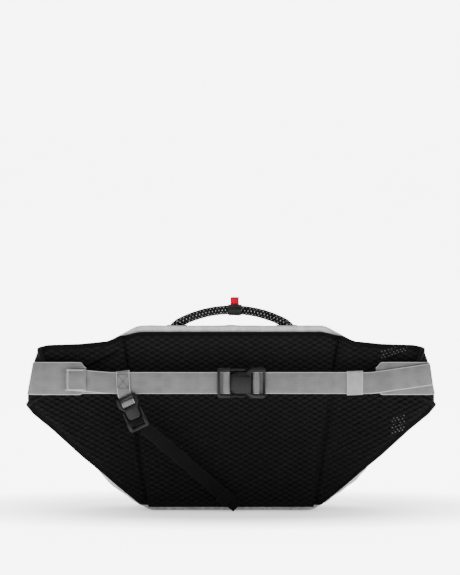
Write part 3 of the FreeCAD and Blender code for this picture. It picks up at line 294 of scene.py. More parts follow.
def spacer_mesh(name, value):
    """Fine open mesh, quilted: small dark holes, painted shade on the quilting lines and painted light on
    the crowns, which grows towards the top.
    """
    shader = Shader(name, 0.62, Sheen_Weight=0.03, Sheen_Roughness=0.4)
    holes = shader.texture("Voronoi", "Distance", 720.0, stretch=(1.0, 1.0, 1.35))
    cloud = shader.texture("Noise", "Fac", 30.0, Detail=3.0)
    # Painted shade: the quilting lines come out dark and the crowns pale, as light and shade fall on the
    # grooves.
    crowns = quilt_crowns(shader)
    tone = shader.maths("ADD", shader.maths("MULTIPLY", holes, 0.25), shader.maths("MULTIPLY", cloud, 0.2))
    split = shader.node("SeparateXYZ")
    shader.link(shader.coords.outputs["Object"], split.inputs["Vector"])
    # Painted light: the crowns grow paler the higher they sit, as if lit from above.
    painted_top_light = shader.node("MapRange")
    for key, amount in (("From Min", 0.1), ("From Max", 0.2), ("To Min", 0.42), ("To Max", 0.8)):
        painted_top_light.inputs[key].default_value = amount
    shader.link(split.outputs["Z"], painted_top_light.inputs["Value"])
    tone = shader.maths("ADD", tone, shader.maths("MULTIPLY", crowns, painted_top_light.outputs["Result"]))
    shader.colour(shader.ramp(tone, shade(value, 0.12), shade(value, 4.2), 0.3, 1.0))
    shader.rough(cloud, 0.52, 0.74)
    shader.bump(holes, 0.6, 0.35)
    return shader.material


def moulded(name, value, roughness=0.4):
    """Moulded plastic with a fine spark texture and slightly rubbed high spots."""
    shader = Shader(name, roughness)
    shader.base.inputs["Specular IOR Level"].default_value = 0.13
    spark = shader.texture("Noise", "Fac", 2600.0, Detail=2.0)
    cloud = shader.texture("Noise", "Fac", 90.0, Detail=4.0)
    shader.colour(shader.ramp(cloud, shade(value, 0.75), shade(value, 1.6), 0.35, 0.75))
    shader.rough(cloud, roughness - 0.08, roughness + 0.12)
    shader.bump(spark, 0.25, 0.08)
    return shader.material


def thread(name, value):
    """Twisted thread or strand: fine slanting fibres along its own UV map."""
    shader = Shader(name, 0.7)
    fibres = shader.texture("Wave", "Fac", wave_scale(0.55), "UV", bands_direction="DIAGONAL")
    cloud = shader.texture("Noise", "Fac", 300.0, "UV", Detail=3.0)
    shader.colour(shader.ramp(shader.maths("MULTIPLY", fibres, cloud), shade(value, 0.6),
                              shade(value, 1.35), 0.1, 0.7))
    shader.rough(cloud, 0.6, 0.8)
    shader.bump(fibres, 0.5, 0.12)
    return shader.material


MATERIALS = {}


def make_materials():
    """Every finish of the pack, once."""
    c = colours()
    MATERIALS.update({
        "shell": coated("shell_fabric", c.shell),
        "lining": woven("lining_fabric", c.lining, 1.0),
        "mesh": spacer_mesh("quilted_mesh", c.mesh),
        "cover": woven("wing_cover_fabric", c.cover, 0.7, 0.6, contrast=0.3),
        "binding": woven("binding_tape", c.binding, 0.9, 0.7, contrast=0.4, depth=0.7),
        "webbing": webbing("grey_webbing", c.webbing, c.selvedge),
        "elastic": webbing("grey_elastic", c.elastic, shade(c.elastic, 1.3), 0.8, 0.7),
        "strap": webbing("black_webbing", c.strap, shade(c.strap, 1.8), 0.9, 0.9),
        "black_elastic": webbing("black_elastic", c.strap, shade(c.strap, 2.4), 0.8, 0.7),
        "plastic": moulded("buckle_plastic", c.plastic, 0.38),
        "pull": moulded("rubber_pull", shade(c.plastic, 1.6), 0.55),
        "metal": moulded("zip_paint", c.metal, 0.3),
        "rope": thread("rope_strand", c.rope),
        "tracer": thread("rope_tracer", c.tracer),
        "tab": woven("red_tab_weave", c.tab, 0.5, 0.7, contrast=0.3),
        "label": moulded("label_sleeve_rubber", shade(c.plastic, 1.1), 0.5),
        "eyelet": moulded("eyelet_rim", shade(c.webbing, 0.45), 0.5),
        "thread": thread("sewing_thread", c.thread),
        "dark_thread": thread("dark_thread", shade(c.binding, 2.6)),
        "tape": woven("zip_tape_weave", shade(c.lining, 0.55), 0.6, 0.7),
        "teeth": moulded("zip_teeth", shade(c.metal, 1.5), 0.4),
    })


# ------------------------------------------------------------------ mesh helpers

def deselect():
    """Leaves edit mode and selects nothing."""
    if bpy.context.object and bpy.context.object.mode != "OBJECT":
        bpy.ops.object.mode_set(mode="OBJECT")
    bpy.ops.object.select_all(action="DESELECT")


def choose(obj):
    """Makes one object the only selected and the active one."""
    deselect()
    obj.select_set(True)
    bpy.context.view_layer.objects.active = obj


def finish_piece(obj, material, body, replaces=(), smooth=40, merge_mm=0.002):
    """Merges, turns faces outwards, shades and hands a piece to its body."""
    choose(obj)
    bpy.ops.object.mode_set(mode="EDIT")
    bpy.ops.mesh.select_all(action="SELECT")
    bpy.ops.mesh.remove_doubles(threshold=merge_mm * MM)
    bpy.ops.mesh.normals_make_consistent(inside=False)
    bpy.ops.object.mode_set(mode="OBJECT")
    bpy.ops.object.shade_smooth_by_angle(angle=math.radians(smooth))
    if material is not None:
        obj.data.materials.clear()
        obj.data.materials.append(MATERIALS[material])
    if replaces:
        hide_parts(*replaces)
    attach(obj, body)
    deselect()
    return obj


def mesh_object(name, points, faces, uvs=None):
    """A mesh object from points in metres; uvs holds one pair for each point."""
    mesh = bpy.data.meshes.new(name)
    mesh.from_pydata([tuple(point) for point in points], [], faces)
    if uvs:
        layer = mesh.uv_layers.new(name="UVMap")
        for loop in mesh.loops:
            layer.data[loop.index].uv = uvs[loop.vertex_index]
    obj = bpy.data.objects.new(name, mesh)
    bpy.context.scene.collection.objects.link(obj)
    return obj


def apply_modifier(obj, kind, name, **settings):
    """Adds a modifier with its settings and applies it."""
    choose(obj)
    modifier = obj.modifiers.new(name, kind)
    for key, value in settings.items():
        setattr(modifier, key, value)
    bpy.ops.object.modifier_apply(modifier=name)
    return obj


def grid_solid(name, front, back):
    """A closed solid between two grids of the same size, given as rows of points."""
    rows, columns = len(front), len(front[0])
    points = [point for row in front for point in row] + [point for row in back for point in row]
    shift = rows * columns
    faces = []
    for i in range(rows - 1):
        for j in range(columns - 1):
            a, b = i * columns + j, (i + 1) * columns + j
            faces.append((a, a + 1, b + 1, b))
            faces.append((a + shift, b + shift, b + 1 + shift, a + 1 + shift))
    rim = [j for j in range(columns)]
    rim += [i * columns + columns - 1 for i in range(1, rows)]
    rim += [(rows - 1) * columns + j for j in range(columns - 2, -1, -1)]
    rim += [i * columns for i in range(rows - 2, 0, -1)]
    for a, b in zip(rim, rim[1:] + rim[:1]):
        faces.append((a, a + shift, b + shift, b))
    return mesh_object(name, points, faces)


def pad_on_plane(name, front, back):
    """A closed pad: a fine grid of points in front and one flat face behind, at the depth back."""
    rows, columns = len(front), len(front[0])
    points = [point for row in front for point in row]
    faces = [(i * columns + j, i * columns + j + 1, (i + 1) * columns + j + 1, (i + 1) * columns + j)
             for i in range(rows - 1) for j in range(columns - 1)]
    rim = list(range(columns))
    rim += [i * columns + columns - 1 for i in range(1, rows)]
    rim += [(rows - 1) * columns + j for j in range(columns - 2, -1, -1)]
    rim += [i * columns for i in range(rows - 2, 0, -1)]
    start = len(points)
    points += [Vector((points[k].x, back, points[k].z)) for k in rim]
    count = len(rim)
    for k in range(count):
        m = (k + 1) % count
        faces.append((rim[k], start + k, start + m, rim[m]))
    faces.append(tuple(start + k for k in range(count)))
    return mesh_object(name, points, faces)


def curve_through(points, step_mm=2.0, closed=False):
    """Evenly placed points on a smooth curve through given ones."""
    knots = [Vector(point) for point in points]
    count = len(knots)
    dense = []
    for i in range(count if closed else count - 1):
        if closed:
            a, b, c, d = (knots[(i + k) % count] for k in (-1, 0, 1, 2))
        else:
            b, c = knots[i], knots[i + 1]
            a = knots[i - 1] if i else b - (c - b)
            d = knots[i + 2] if i + 2 < count else c + (c - b)
        parts = max(2, int((c - b).length / (step_mm * MM)))
        for k in range(parts):
            f = k / parts
            dense.append(0.5 * ((2 * b) + (c - a) * f + (2 * a - 5 * b + 4 * c - d) * f * f
                                + (3 * b - a - 3 * c + d) * f ** 3))
    if not closed:
        dense.append(knots[-1])
    return dense


def tangents(path, closed=False):
    """The direction of a path at each of its points."""
    count = len(path)
    found = []
    for i in range(count):
        before = path[(i - 1) % count] if closed or i else path[i]
        after = path[(i + 1) % count] if closed or i < count - 1 else path[i]
        found.append((after - before).normalized())
    return found


def flat_section(half, thick, edge):
    """The section of a strap with soft edges, as pairs of across and out."""
    return [(edge - half, thick / 2), (0.0, thick / 2), (half - edge, thick / 2), (half, thick / 5),
            (half, -thick / 5), (half - edge, -thick / 2), (0.0, -thick / 2), (edge - half, -thick / 2),
            (-half, -thick / 5), (-half, thick / 5)]


def strap(name, path, across, width, thick, closed=False):
    """Webbing along a path. across gives the width's direction and width its size, at a share of
    the length from 0 to 1. UV is the length along it and the distance from its edge."""
    count = len(path)
    ways = tangents(path, closed)
    distance = [0.0]
    for a, b in zip(path, path[1:]):
        distance.append(distance[-1] + (b - a).length)
    total = distance[-1]
    points, uvs = [], []
    section_size = len(flat_section(1, 1, 0.1))
    for i in range(count + (1 if closed else 0)):
        at = path[i % count]
        run = distance[i] if i < count else total + (path[0] - path[-1]).length
        share = min(1.0, run / total)
        way = ways[i % count]
        side = across(share) if callable(across) else Vector(across)
        side = (side - way * side.dot(way)).normalized()
        out = way.cross(side)
        wide = width(share) if callable(width) else width
        for a, n in flat_section(wide / 2, thick, min(thick * 0.45, 0.7 * MM)):
            points.append(at + side * a + out * n)
            uvs.append((run, max(0.0, wide / 2 - abs(a))))
    rings = len(points) // section_size
    faces = []
    for i in range(rings - 1):
        for k in range(section_size):
            m = (k + 1) % section_size
            a, b = i * section_size, (i + 1) * section_size
            faces.append((a + k, a + m, b + m, b + k))
    if not closed:
        faces.append(tuple(range(section_size))[::-1])
        faces.append(tuple((rings - 1) * section_size + k for k in range(section_size)))
    return mesh_object(name, points, faces, uvs)


def tube_points(path, radius, sides, closed=False):
    """Rings of points round a path, with the frame carried along it without twist."""
    ways = tangents(path, closed)
    side = ways[0].orthogonal().normalized()
    rings = []
    for at, way in zip(path, ways):
        side = (side - way * side.dot(way)).normalized()
        up = way.cross(side)
        rings.append([at + radius * (side * math.cos(2 * math.pi * k / sides)
                                     + up * math.sin(2 * math.pi * k / sides)) for k in range(sides)])
    return rings


def tubes(name, paths, radius, sides=6):
    """Many round bars in one mesh, with closed ends and a UV map along each."""
    points, faces, uvs = [], [], []
    for path in paths:
        start = len(points)
        run = 0.0
        for i, ring in enumerate(tube_points(path, radius, sides)):
            if i:
                run += (path[i] - path[i - 1]).length
            points.extend(ring)
            uvs.extend((run, k * 2 * math.pi * radius / sides) for k in range(sides))
        for i in range(len(path) - 1):
            for k in range(sides):
                m = (k + 1) % sides
                a, b = start + i * sides, start + (i + 1) * sides
                faces.append((a + k, a + m, b + m, b + k))
        faces.append(tuple(start + k for k in range(sides))[::-1])
        faces.append(tuple(start + (len(path) - 1) * sides + k for k in range(sides)))
    return mesh_object(name, points, faces, uvs)


def stitches(name, path, out, body, material="dark_thread", step=None, lift_mm=0.05):
    """A row of short stitches along a path, each a small bowed piece of thread."""
    s = sizes()
    step = step or s.stitch_long
    spots = curve_through(path, 0.5)
    distance = [0.0]
    for a, b in zip(spots, spots[1:]):
        distance.append(distance[-1] + (b - a).length)

    def at(run):
        i = min(len(spots) - 2, max(0, bisect.bisect_right(distance, run) - 1))
        span = distance[i + 1] - distance[i]
        return spots[i].lerp(spots[i + 1], (run - distance[i]) / span if span else 0.0)

    out = Vector(out).normalized()
    paths = []
    for k in range(int(distance[-1] / step)):
        low, high = (k + 0.12) * step, (k + 0.82) * step
        bow = s.stitch_round * 0.6
        paths.append([at(low) - out * bow, at(low) + out * (bow + lift_mm * MM),
                      at((low + high) / 2) + out * (bow + lift_mm * MM),
                      at(high) + out * (bow + lift_mm * MM), at(high) - out * bow])
    return finish_piece(tubes(name, paths, s.stitch_round, 5), material, body, merge_mm=0.0005)


def softened(node, material, body, bevel_mm=0.45, segments=2, name=None):
    """A copy of a hard CAD piece, merged into clean faces and given soft edges."""
    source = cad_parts[node]
    obj = bpy.data.objects.new(name or node + "_soft", source.data.copy())
    bpy.context.scene.collection.objects.link(obj)
    choose(obj)
    bpy.ops.object.mode_set(mode="EDIT")
    bpy.ops.mesh.select_all(action="SELECT")
    bpy.ops.mesh.remove_doubles(threshold=0.01 * MM)
    bpy.ops.mesh.dissolve_limited(angle_limit=math.radians(1.0))
    bpy.ops.mesh.normals_make_consistent(inside=False)
    bpy.ops.object.mode_set(mode="OBJECT")
    apply_modifier(obj, "BEVEL", "soft_edges", width=bevel_mm * MM, segments=segments,
                   limit_method="ANGLE", angle_limit=math.radians(35), use_clamp_overlap=True)
    return finish_piece(obj, material, body, [node], smooth=32, merge_mm=0.001)


def interpolate(table, x):
    """Linear values between the points of a table, sorted by x."""
    if x <= table[0][0]:
        return table[0][1]
    for (xa, ya), (xb, yb) in zip(table, table[1:]):
        if x <= xb:
            return ya + (yb - ya) * (x - xa) / (xb - xa)
    return table[-1][1]


def ease(value):
    """A smooth step from 0 to 1."""
    value = max(0.0, min(1.0, value))
    return value * value * (3 - 2 * value)


def quilting(x, z):
    """Height of the quilting at a place: 1 on a diamond's crown, 0 on its lines."""
    s = sizes()
    a = x / s.quilt_wide + z / s.quilt_high
    b = x / s.quilt_wide - z / s.quilt_high
    return min(1.0, 2.0 * math.sqrt(abs(math.sin(math.pi * a) * math.sin(math.pi * b))))


# ------------------------------------------------------------------ stage

class PACK_OT_studio(bpy.types.Operator):
    """Pale floor, soft lights and the camera"""

    bl_idname = "pack.studio"
    bl_label = "Studio"

    def execute(self, context):
        self.floor()
        self.lights()
        self.camera(context)
        return {"FINISHED"}

    def floor(self):
        """A white floor that curves up into a backdrop and glows."""
        deselect()
        bpy.ops.mesh.primitive_plane_add(size=1.0, location=(0, 0, 0))
        sweep = context_object("studio_sweep")
        floor_wide, floor_deep, backdrop_high = 14.0, 6.0, 5.0
        sweep.data.transform(Matrix.Diagonal((floor_wide, floor_deep, 1.0, 1.0)))
        choose(sweep)
        bpy.ops.object.mode_set(mode="EDIT")
        bpy.ops.mesh.select_mode(type="EDGE")
        bpy.ops.mesh.select_all(action="DESELECT")
        mesh = bmesh.from_edit_mesh(sweep.data)
        for edge in mesh.edges:
            if all(vert.co.y > 0 for vert in edge.verts):
                edge.select_set(True)
        mesh.select_flush_mode()
        bmesh.update_edit_mesh(sweep.data)
        bpy.ops.mesh.extrude_region_move(TRANSFORM_OT_translate={"value": (0, 0, backdrop_high)})
        bpy.ops.object.mode_set(mode="OBJECT")
        apply_modifier(sweep, "BEVEL", "sweep_curve", width=1.6, segments=16)
        choose(sweep)
        bpy.ops.object.shade_smooth()
        shader = Shader("studio_white", 0.9)
        shader.base.inputs["Base Color"].default_value = (0.93, 0.93, 0.93, 1.0)
        shader.base.inputs["Emission Color"].default_value = (1.0, 1.0, 1.0, 1.0)
        shader.link(self.glow(shader), shader.base.inputs["Emission Strength"])
        sweep.data.materials.append(shader.material)

    def glow(self, shader):
        """Light given off by the white floor itself, painted dimmer in a pool under and around the pack: a
        painted shadow.
        """
        split = shader.node("SeparateXYZ")
        shader.link(shader.coords.outputs["Object"], split.inputs["Vector"])
        pool_half_wide, pool_half_deep = 0.34, 0.20
        across = shader.maths("MULTIPLY", split.outputs["X"], 1 / pool_half_wide)
        along = shader.maths("MULTIPLY", split.outputs["Y"], 1 / pool_half_deep)
        squares = [shader.maths("MULTIPLY", value, value) for value in (across, along)]
        reach = shader.maths("ADD", *squares)
        # Painted shadow: the floor's glow drops in an oval round the pack.
        pool = shader.node("MapRange")
        pool.inputs["From Min"].default_value = 0.35
        pool.inputs["From Max"].default_value = 1.5
        pool.inputs["To Min"].default_value = 0.5
        pool.inputs["To Max"].default_value = 5.0
        shader.link(reach, pool.inputs["Value"])
        return pool.outputs["Result"]

    def lights(self):
        """Three softboxes aimed at the pack, and a dim even surround."""
        world = bpy.data.worlds.new("studio_world")
        bpy.context.scene.world = world
        world.use_nodes = True
        background = world.node_tree.nodes["Background"]
        background.inputs["Color"].default_value = (1, 1, 1, 1)
        background.inputs["Strength"].default_value = 0.4
        for name, place, size, power in (
                ("key_softbox", (-1.0, -1.6, 2.0), 1.4, 24.0),
                ("fill_softbox", (1.6, -1.8, 1.1), 1.6, 10.0),
                ("top_softbox", (0.0, 0.1, 2.3), 1.8, 40.0)):
            light = bpy.data.lights.new(name, "AREA")
            light.size = size
            light.energy = power
            lamp = bpy.data.objects.new(name, light)
            lamp.location = place
            aim = Vector((0, 0, 0.12)) - Vector(place)
            lamp.rotation_euler = aim.to_track_quat("-Z", "Y").to_euler()
            bpy.context.scene.collection.objects.link(lamp)

    def camera(self, context):
        """A long lens level with the pack; the pack sits low in an upright frame."""
        view_high = 0.6716
        reach = 2.5
        plane_y = -0.06
        data = bpy.data.cameras.new("camera")
        data.sensor_width = 36.0
        data.lens = data.sensor_width * reach / view_high
        data.clip_end = 50.0
        camera = bpy.data.objects.new("camera", data)
        camera.location = (-0.0012, plane_y - reach, 0.2628)
        camera.rotation_euler = (math.radians(90), 0, 0)
        context.scene.collection.objects.link(camera)
        context.scene.camera = camera


def context_object(name):
    """Names the object that was just added, and its mesh."""
    obj = bpy.context.object
    obj.name = name
    obj.data.name = name
    return obj


# ------------------------------------------------------------------ bag

BAG_RIGHT = [(98, 0), (178, 73), (146, 199), (110, 218)]
BAG_ROUND = 20.0


def bag_outline(draw_mm, drop_mm, shrink_mm=0.0, parts=7):
    """The bag's rounded outline at one depth, anticlockwise from the base, in millimetres."""
    right = [(x - draw_mm, z if z == 0 else z - drop_mm) for x, z in BAG_RIGHT]
    corners = [(-x, z) for x, z in right[::-1]] + right
    corners = corners[len(right):] + corners[:len(right)]
    count = len(corners)
    outline = []
    for i, corner in enumerate(corners):
        here = Vector(corner)
        before = (Vector(corners[i - 1]) - here)
        after = (Vector(corners[(i + 1) % count]) - here)
        half = before.angle(after) / 2
        reach = BAG_ROUND / math.tan(half)
        start, end = here + before.normalized() * reach, here + after.normalized() * reach
        for k in range(parts + 1):
            f = k / parts
            outline.append((1 - f) ** 2 * start + 2 * f * (1 - f) * here + f * f * end)
    middle = Vector((0, 109 - drop_mm / 2))
    if shrink_mm:
        outline = [point + (middle - point).normalized() * shrink_mm for point in outline]
    return outline


def resample(outline, count):
    """The closed outline as evenly spaced points."""
    loop = outline + outline[:1]
    run = [0.0]
    for a, b in zip(loop, loop[1:]):
        run.append(run[-1] + (b - a).length)
    points = []
    for k in range(count):
        goal = run[-1] * k / count
        i = min(len(loop) - 2, bisect.bisect_right(run, goal) - 1)
        span = run[i + 1] - run[i]
        points.append(loop[i].lerp(loop[i + 1], (goal - run[i]) / span if span else 0))
    return points


def crease(x, y, z, size=1.0):
    """Soft folds of filled fabric, in millimetres out of the surface."""
    return size * (0.55 * math.sin(x * 0.060 + z * 0.045 + 1.3) * math.sin(z * 0.071 - y * 0.05)
                   + 0.35 * math.sin(x * 0.13 - z * 0.10 + 0.4) * math.sin(y * 0.11 + 0.7)
                   + 0.22 * math.sin(x * 0.21 + z * 0.27))


def calm_near_zip(z):
    """0 on the front beside the main zip, where the cloth lies flat, and 1 away from it."""
    zip_height, flat, fade = 168, 11, 16
    return ease((abs(z - zip_height) - flat) / fade)


def bag_skin():
    """The whole outside of the bag as an open sheet: rings from the back seam to the front's middle."""
    around = 220
    back, front, bend = -34.8, 46.0, 9.0
    swell = sizes().skin_swell / MM
    rings = []

    def ring(y, share, shrink):
        """One cross-section of the bag, drawn in by shrink."""
        points = resample(bag_outline(16 * share, 16 * share, shrink), around)
        return [Vector((p.x, y, p.y)) for p in points]

    for k in range(3):
        turn = math.pi / 2 * k / 2
        rings.append(ring(back + 2.5 * (1 - math.cos(turn)) - 1.2, 0.0, 2.5 * (1 - math.sin(turn))))
    depth_steps = 18
    bend_steps = 6
    side_share = 0.9
    lip = 1.3
    for k in range(1, depth_steps + 1):
        f = k / depth_steps
        rings.append(ring(back + lip + f * (front - bend - back - lip), f * side_share, 0.0))
    for k in range(1, bend_steps + 1):
        turn = math.pi / 2 * k / bend_steps
        share = side_share + 0.1 * k / bend_steps
        rings.append(ring(front - bend + bend * math.sin(turn), share, bend * (1 - math.cos(turn))))
    edge = rings[-1]
    middle = Vector((0, front, 100))
    inward = 26
    for k in range(1, inward):
        f = k / inward
        row = []
        for point in edge:
            place = point.lerp(middle, f)
            calm = calm_near_zip(place.z)
            place.y = front + swell * calm * math.sin(math.pi / 2 * min(1.0, f * 1.4)) - 0.3 * (1 - calm)
            row.append(place)
        rings.append(row)
    points = []
    for depth, row in enumerate(rings):
        for place in row:
            amount = crease(place.x, place.y, place.z, 2.6 if 2 < depth else 0.4)
            if place.z < 6:
                amount = min(0.0, amount) * 0.2
            if place.y > front - 1:
                shift = Vector((0, 0.22 * amount * calm_near_zip(place.z), 0))
            else:
                low_side = max(0.0, math.sin(math.pi * (abs(place.x) - 96) / 84)) if place.z < 75 else 0.0
                amount += 12.0 * low_side * min(1.0, (place.y + 34) / 12) if abs(place.x) > 96 else 0.0
                shift = Vector((place.x, 0, place.z - 105)).normalized() * amount * 0.8
            if place.z < 2:
                shift.z = 0
            points.append((place + shift) * MM)
    centre = Vector((0, front + swell, 100)) * MM
    faces = []
    for i in range(len(rings) - 1):
        for k in range(around):
            m = (k + 1) % around
            a, b = i * around, (i + 1) * around
            faces.append((a + k, b + k, b + m, a + m))
    points.append(centre)
    last = (len(rings) - 1) * around
    for k in range(around):
        faces.append((last + k, len(points) - 1, last + (k + 1) % around))
    return points, faces


def cut_away(obj, point, normal):
    """Removes what lies on the normal's side of a plane."""
    choose(obj)
    bpy.ops.object.mode_set(mode="EDIT")
    bpy.ops.mesh.select_all(action="SELECT")
    bpy.ops.mesh.bisect(plane_co=point, plane_no=normal, clear_outer=True)
    bpy.ops.object.mode_set(mode="OBJECT")


class PACK_OT_bag(bpy.types.Operator):
    """Shell of the bag: tub, top collar and opening lid, and the wall behind the back panel"""

    bl_idname = "pack.bag"
    bl_label = "Bag shell"

    def execute(self, context):
        points, faces = bag_skin()
        zip_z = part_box("gusset")[1][2]
        lid_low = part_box("lid")[0]
        collar_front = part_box("top_collar")[1][1]
        parts = (
            ("bag_tub", "pack", ("gusset", "front_panel"), [((0, 0, zip_z), (0, 0, 1))]),
            ("bag_collar", "pack", ("top_collar",), [((0, 0, zip_z), (0, 0, -1)),
                                                     ((0, collar_front, 0), (0, 1, 0))]),
            ("bag_lid", "lid", ("lid",), [((0, 0, lid_low[2]), (0, 0, -1)), ((0, lid_low[1], 0), (0, -1, 0)),
                                   ((0, lid_low[1], 0.2128), (0, -1, 0.7))]),
        )
        for name, body, nodes, planes in parts:
            piece = mesh_object(name, points, faces)
            choose(piece)
            bpy.ops.object.mode_set(mode="EDIT")
            bpy.ops.mesh.select_all(action="SELECT")
            bpy.ops.mesh.normals_make_consistent(inside=False)
            bpy.ops.object.mode_set(mode="OBJECT")
            for point, normal in planes:
                cut_away(piece, point, normal)
            apply_modifier(piece, "SOLIDIFY", "wall", thickness=sizes().skin_thick, offset=-1.0)
            finish_piece(piece, "shell", body, nodes, smooth=60)
        self.wall()
        return {"FINISHED"}

    def wall(self):
        """The wall behind the back panel, a little softer than its plate."""
        outline = resample(bag_outline(0, 0, 2.5), 160)
        low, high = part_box("back_wall")
        points, faces = [], []
        for y, shrink in ((high[1], 0.0), (low[1], 0.0), (low[1], 30.0), (low[1], 60.0)):
            middle = Vector((0, 105))
            for p in outline:
                at = p.lerp(middle, shrink / 110)
                points.append(Vector((at.x * MM, y, at.y * MM)))
        count = len(outline)
        for i in range(3):
            for k in range(count):
                m = (k + 1) % count
                a, b = i * count, (i + 1) * count
                faces.append((a + k, b + k, b + m, a + m))
        faces.append(tuple(range(count)))
        faces.append(tuple(range(3 * count, 4 * count))[::-1])
        wall = mesh_object("bag_back_wall", points, faces)
        finish_piece(wall, "shell", "pack", ["back_wall"], smooth=50)


class PACK_OT_pocket(bpy.types.Operator):
    """Padded front pocket with a piped edge"""

    bl_idname = "pack.pocket"
    bl_label = "Front pocket"

    OUTLINE = [(22, 84), (66, 116), (134, 110)]

    def execute(self, context):
        low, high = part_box("front_pocket")
        z_low, z_high = low[2] / MM, high[2] / MM
        rows, columns = 60, 90
        front, back = [], []
        for i in range(rows + 1):
            v = i / rows
            z = z_low + (z_high - z_low) * v
            half = interpolate(self.OUTLINE, z)
            corner = 11.0
            for edge in (z - z_low, z_high - z):
                if edge < corner:
                    half -= corner - math.sqrt(max(0.0, corner ** 2 - (corner - edge) ** 2))
            row_front, row_back = [], []
            for j in range(columns + 1):
                u = 2 * j / columns - 1
                x = half * math.sin(u * math.pi / 2) if abs(u) < 1 else half * u
                inside = min(1.0, (half - abs(x)) / 22.0)
                rise = ease(min(1.0, min(v, 1 - v) * (z_high - z_low) / 16.0)) * ease(inside)
                y = 48.0 + 7.6 * rise ** 0.7 + crease(x, 20, z, 0.9) * rise
                row_front.append(Vector((x, y, z)) * MM)
                row_back.append(Vector((x, 46.6, z)) * MM)
            front.append(row_front)
            back.append(row_back)
        pocket = grid_solid("pocket_pad", front, back)
        finish_piece(pocket, "shell", "pack", ["front_pocket"], smooth=60)
        rim = [row[0] for row in front] + front[-1][1:] + [row[-1] for row in front[::-1]][1:]
        rim += front[0][::-1][1:-1]
        path = curve_through([p + Vector((0, -0.0006, 0)) for p in rim[::6]], 3.0, closed=True)
        piping = tubes("pocket_piping", [path + path[:1]], 1.3 * MM, 8)
        finish_piece(piping, "binding", "pack")
        return {"FINISHED"}


class PACK_OT_zips(bpy.types.Operator):
    """Zip tapes, teeth, sliders and pulls"""

    bl_idname = "pack.zips"
    bl_label = "Zips"

    def execute(self, context):
        for node, body in (("main_zip_tape_lower", "pack"), ("main_zip_tape_upper", "lid"),
                           ("pocket_zip_tape", "pack")):
            self.tape(node, body)
        for zip_name, body in (("main", "main"), ("pocket", "pocket")):
            softened(f"{zip_name}_zip_slider", "metal", f"{body}_slider", 0.4)
            softened(f"{zip_name}_zip_pull", "pull", f"{body}_pull", 0.3)
        return {"FINISHED"}

    def tape(self, node, body):
        """One strip of zip tape with its teeth and stitching."""
        low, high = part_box(node)
        y = (low[1] + high[1]) / 2
        middle = (low[2] + high[2]) / 2
        path = [Vector((low[0] + (high[0] - low[0]) * k / 60, y, middle)) for k in range(61)]
        tape = strap(node + "_cloth", path, (0, 0, 1), high[2] - low[2], 0.8 * MM)
        finish_piece(tape, "tape", body, [node])
        if node == "pocket_zip_tape":
            edges = [middle - 1.0 * MM, middle + 1.0 * MM]
        elif body == "lid":
            edges = [low[2] + 0.9 * MM]
        else:
            edges = [high[2] - 0.9 * MM]
        self.teeth(node + "_teeth", low[0] + 2 * MM, high[0] - 2 * MM, high[1], edges, body)
        for side, height in (("lower", low[2] + 1.6 * MM), ("upper", high[2] - 1.6 * MM)):
            if body == "lid" and side == "lower" or node == "main_zip_tape_lower" and side == "upper":
                continue
            row = [Vector((low[0] + 3 * MM, high[1], height)), Vector((0, high[1], height)),
                   Vector((high[0] - 3 * MM, high[1], height))]
            stitches(f"{node}_stitching_{side}", row, (0, 1, 0), body)

    def teeth(self, name, x_low, x_high, y, heights, body):
        """Rows of small moulded teeth, each a short bar across the tape's edge."""
        pitch = 1.6 * MM
        paths = []
        for row, z in enumerate(heights):
            for k in range(int((x_high - x_low) / pitch)):
                x = x_low + (k + 0.5 * row) * pitch
                tooth = Vector((x, y + 0.05 * MM, z))
                reach = Vector((0, 0, 0.75 * MM))
                paths.append([tooth - reach, tooth + reach])
        finish_piece(tubes(name, paths, 0.45 * MM, 6), "teeth", body, merge_mm=0.0005)


# ------------------------------------------------------------------ back panel

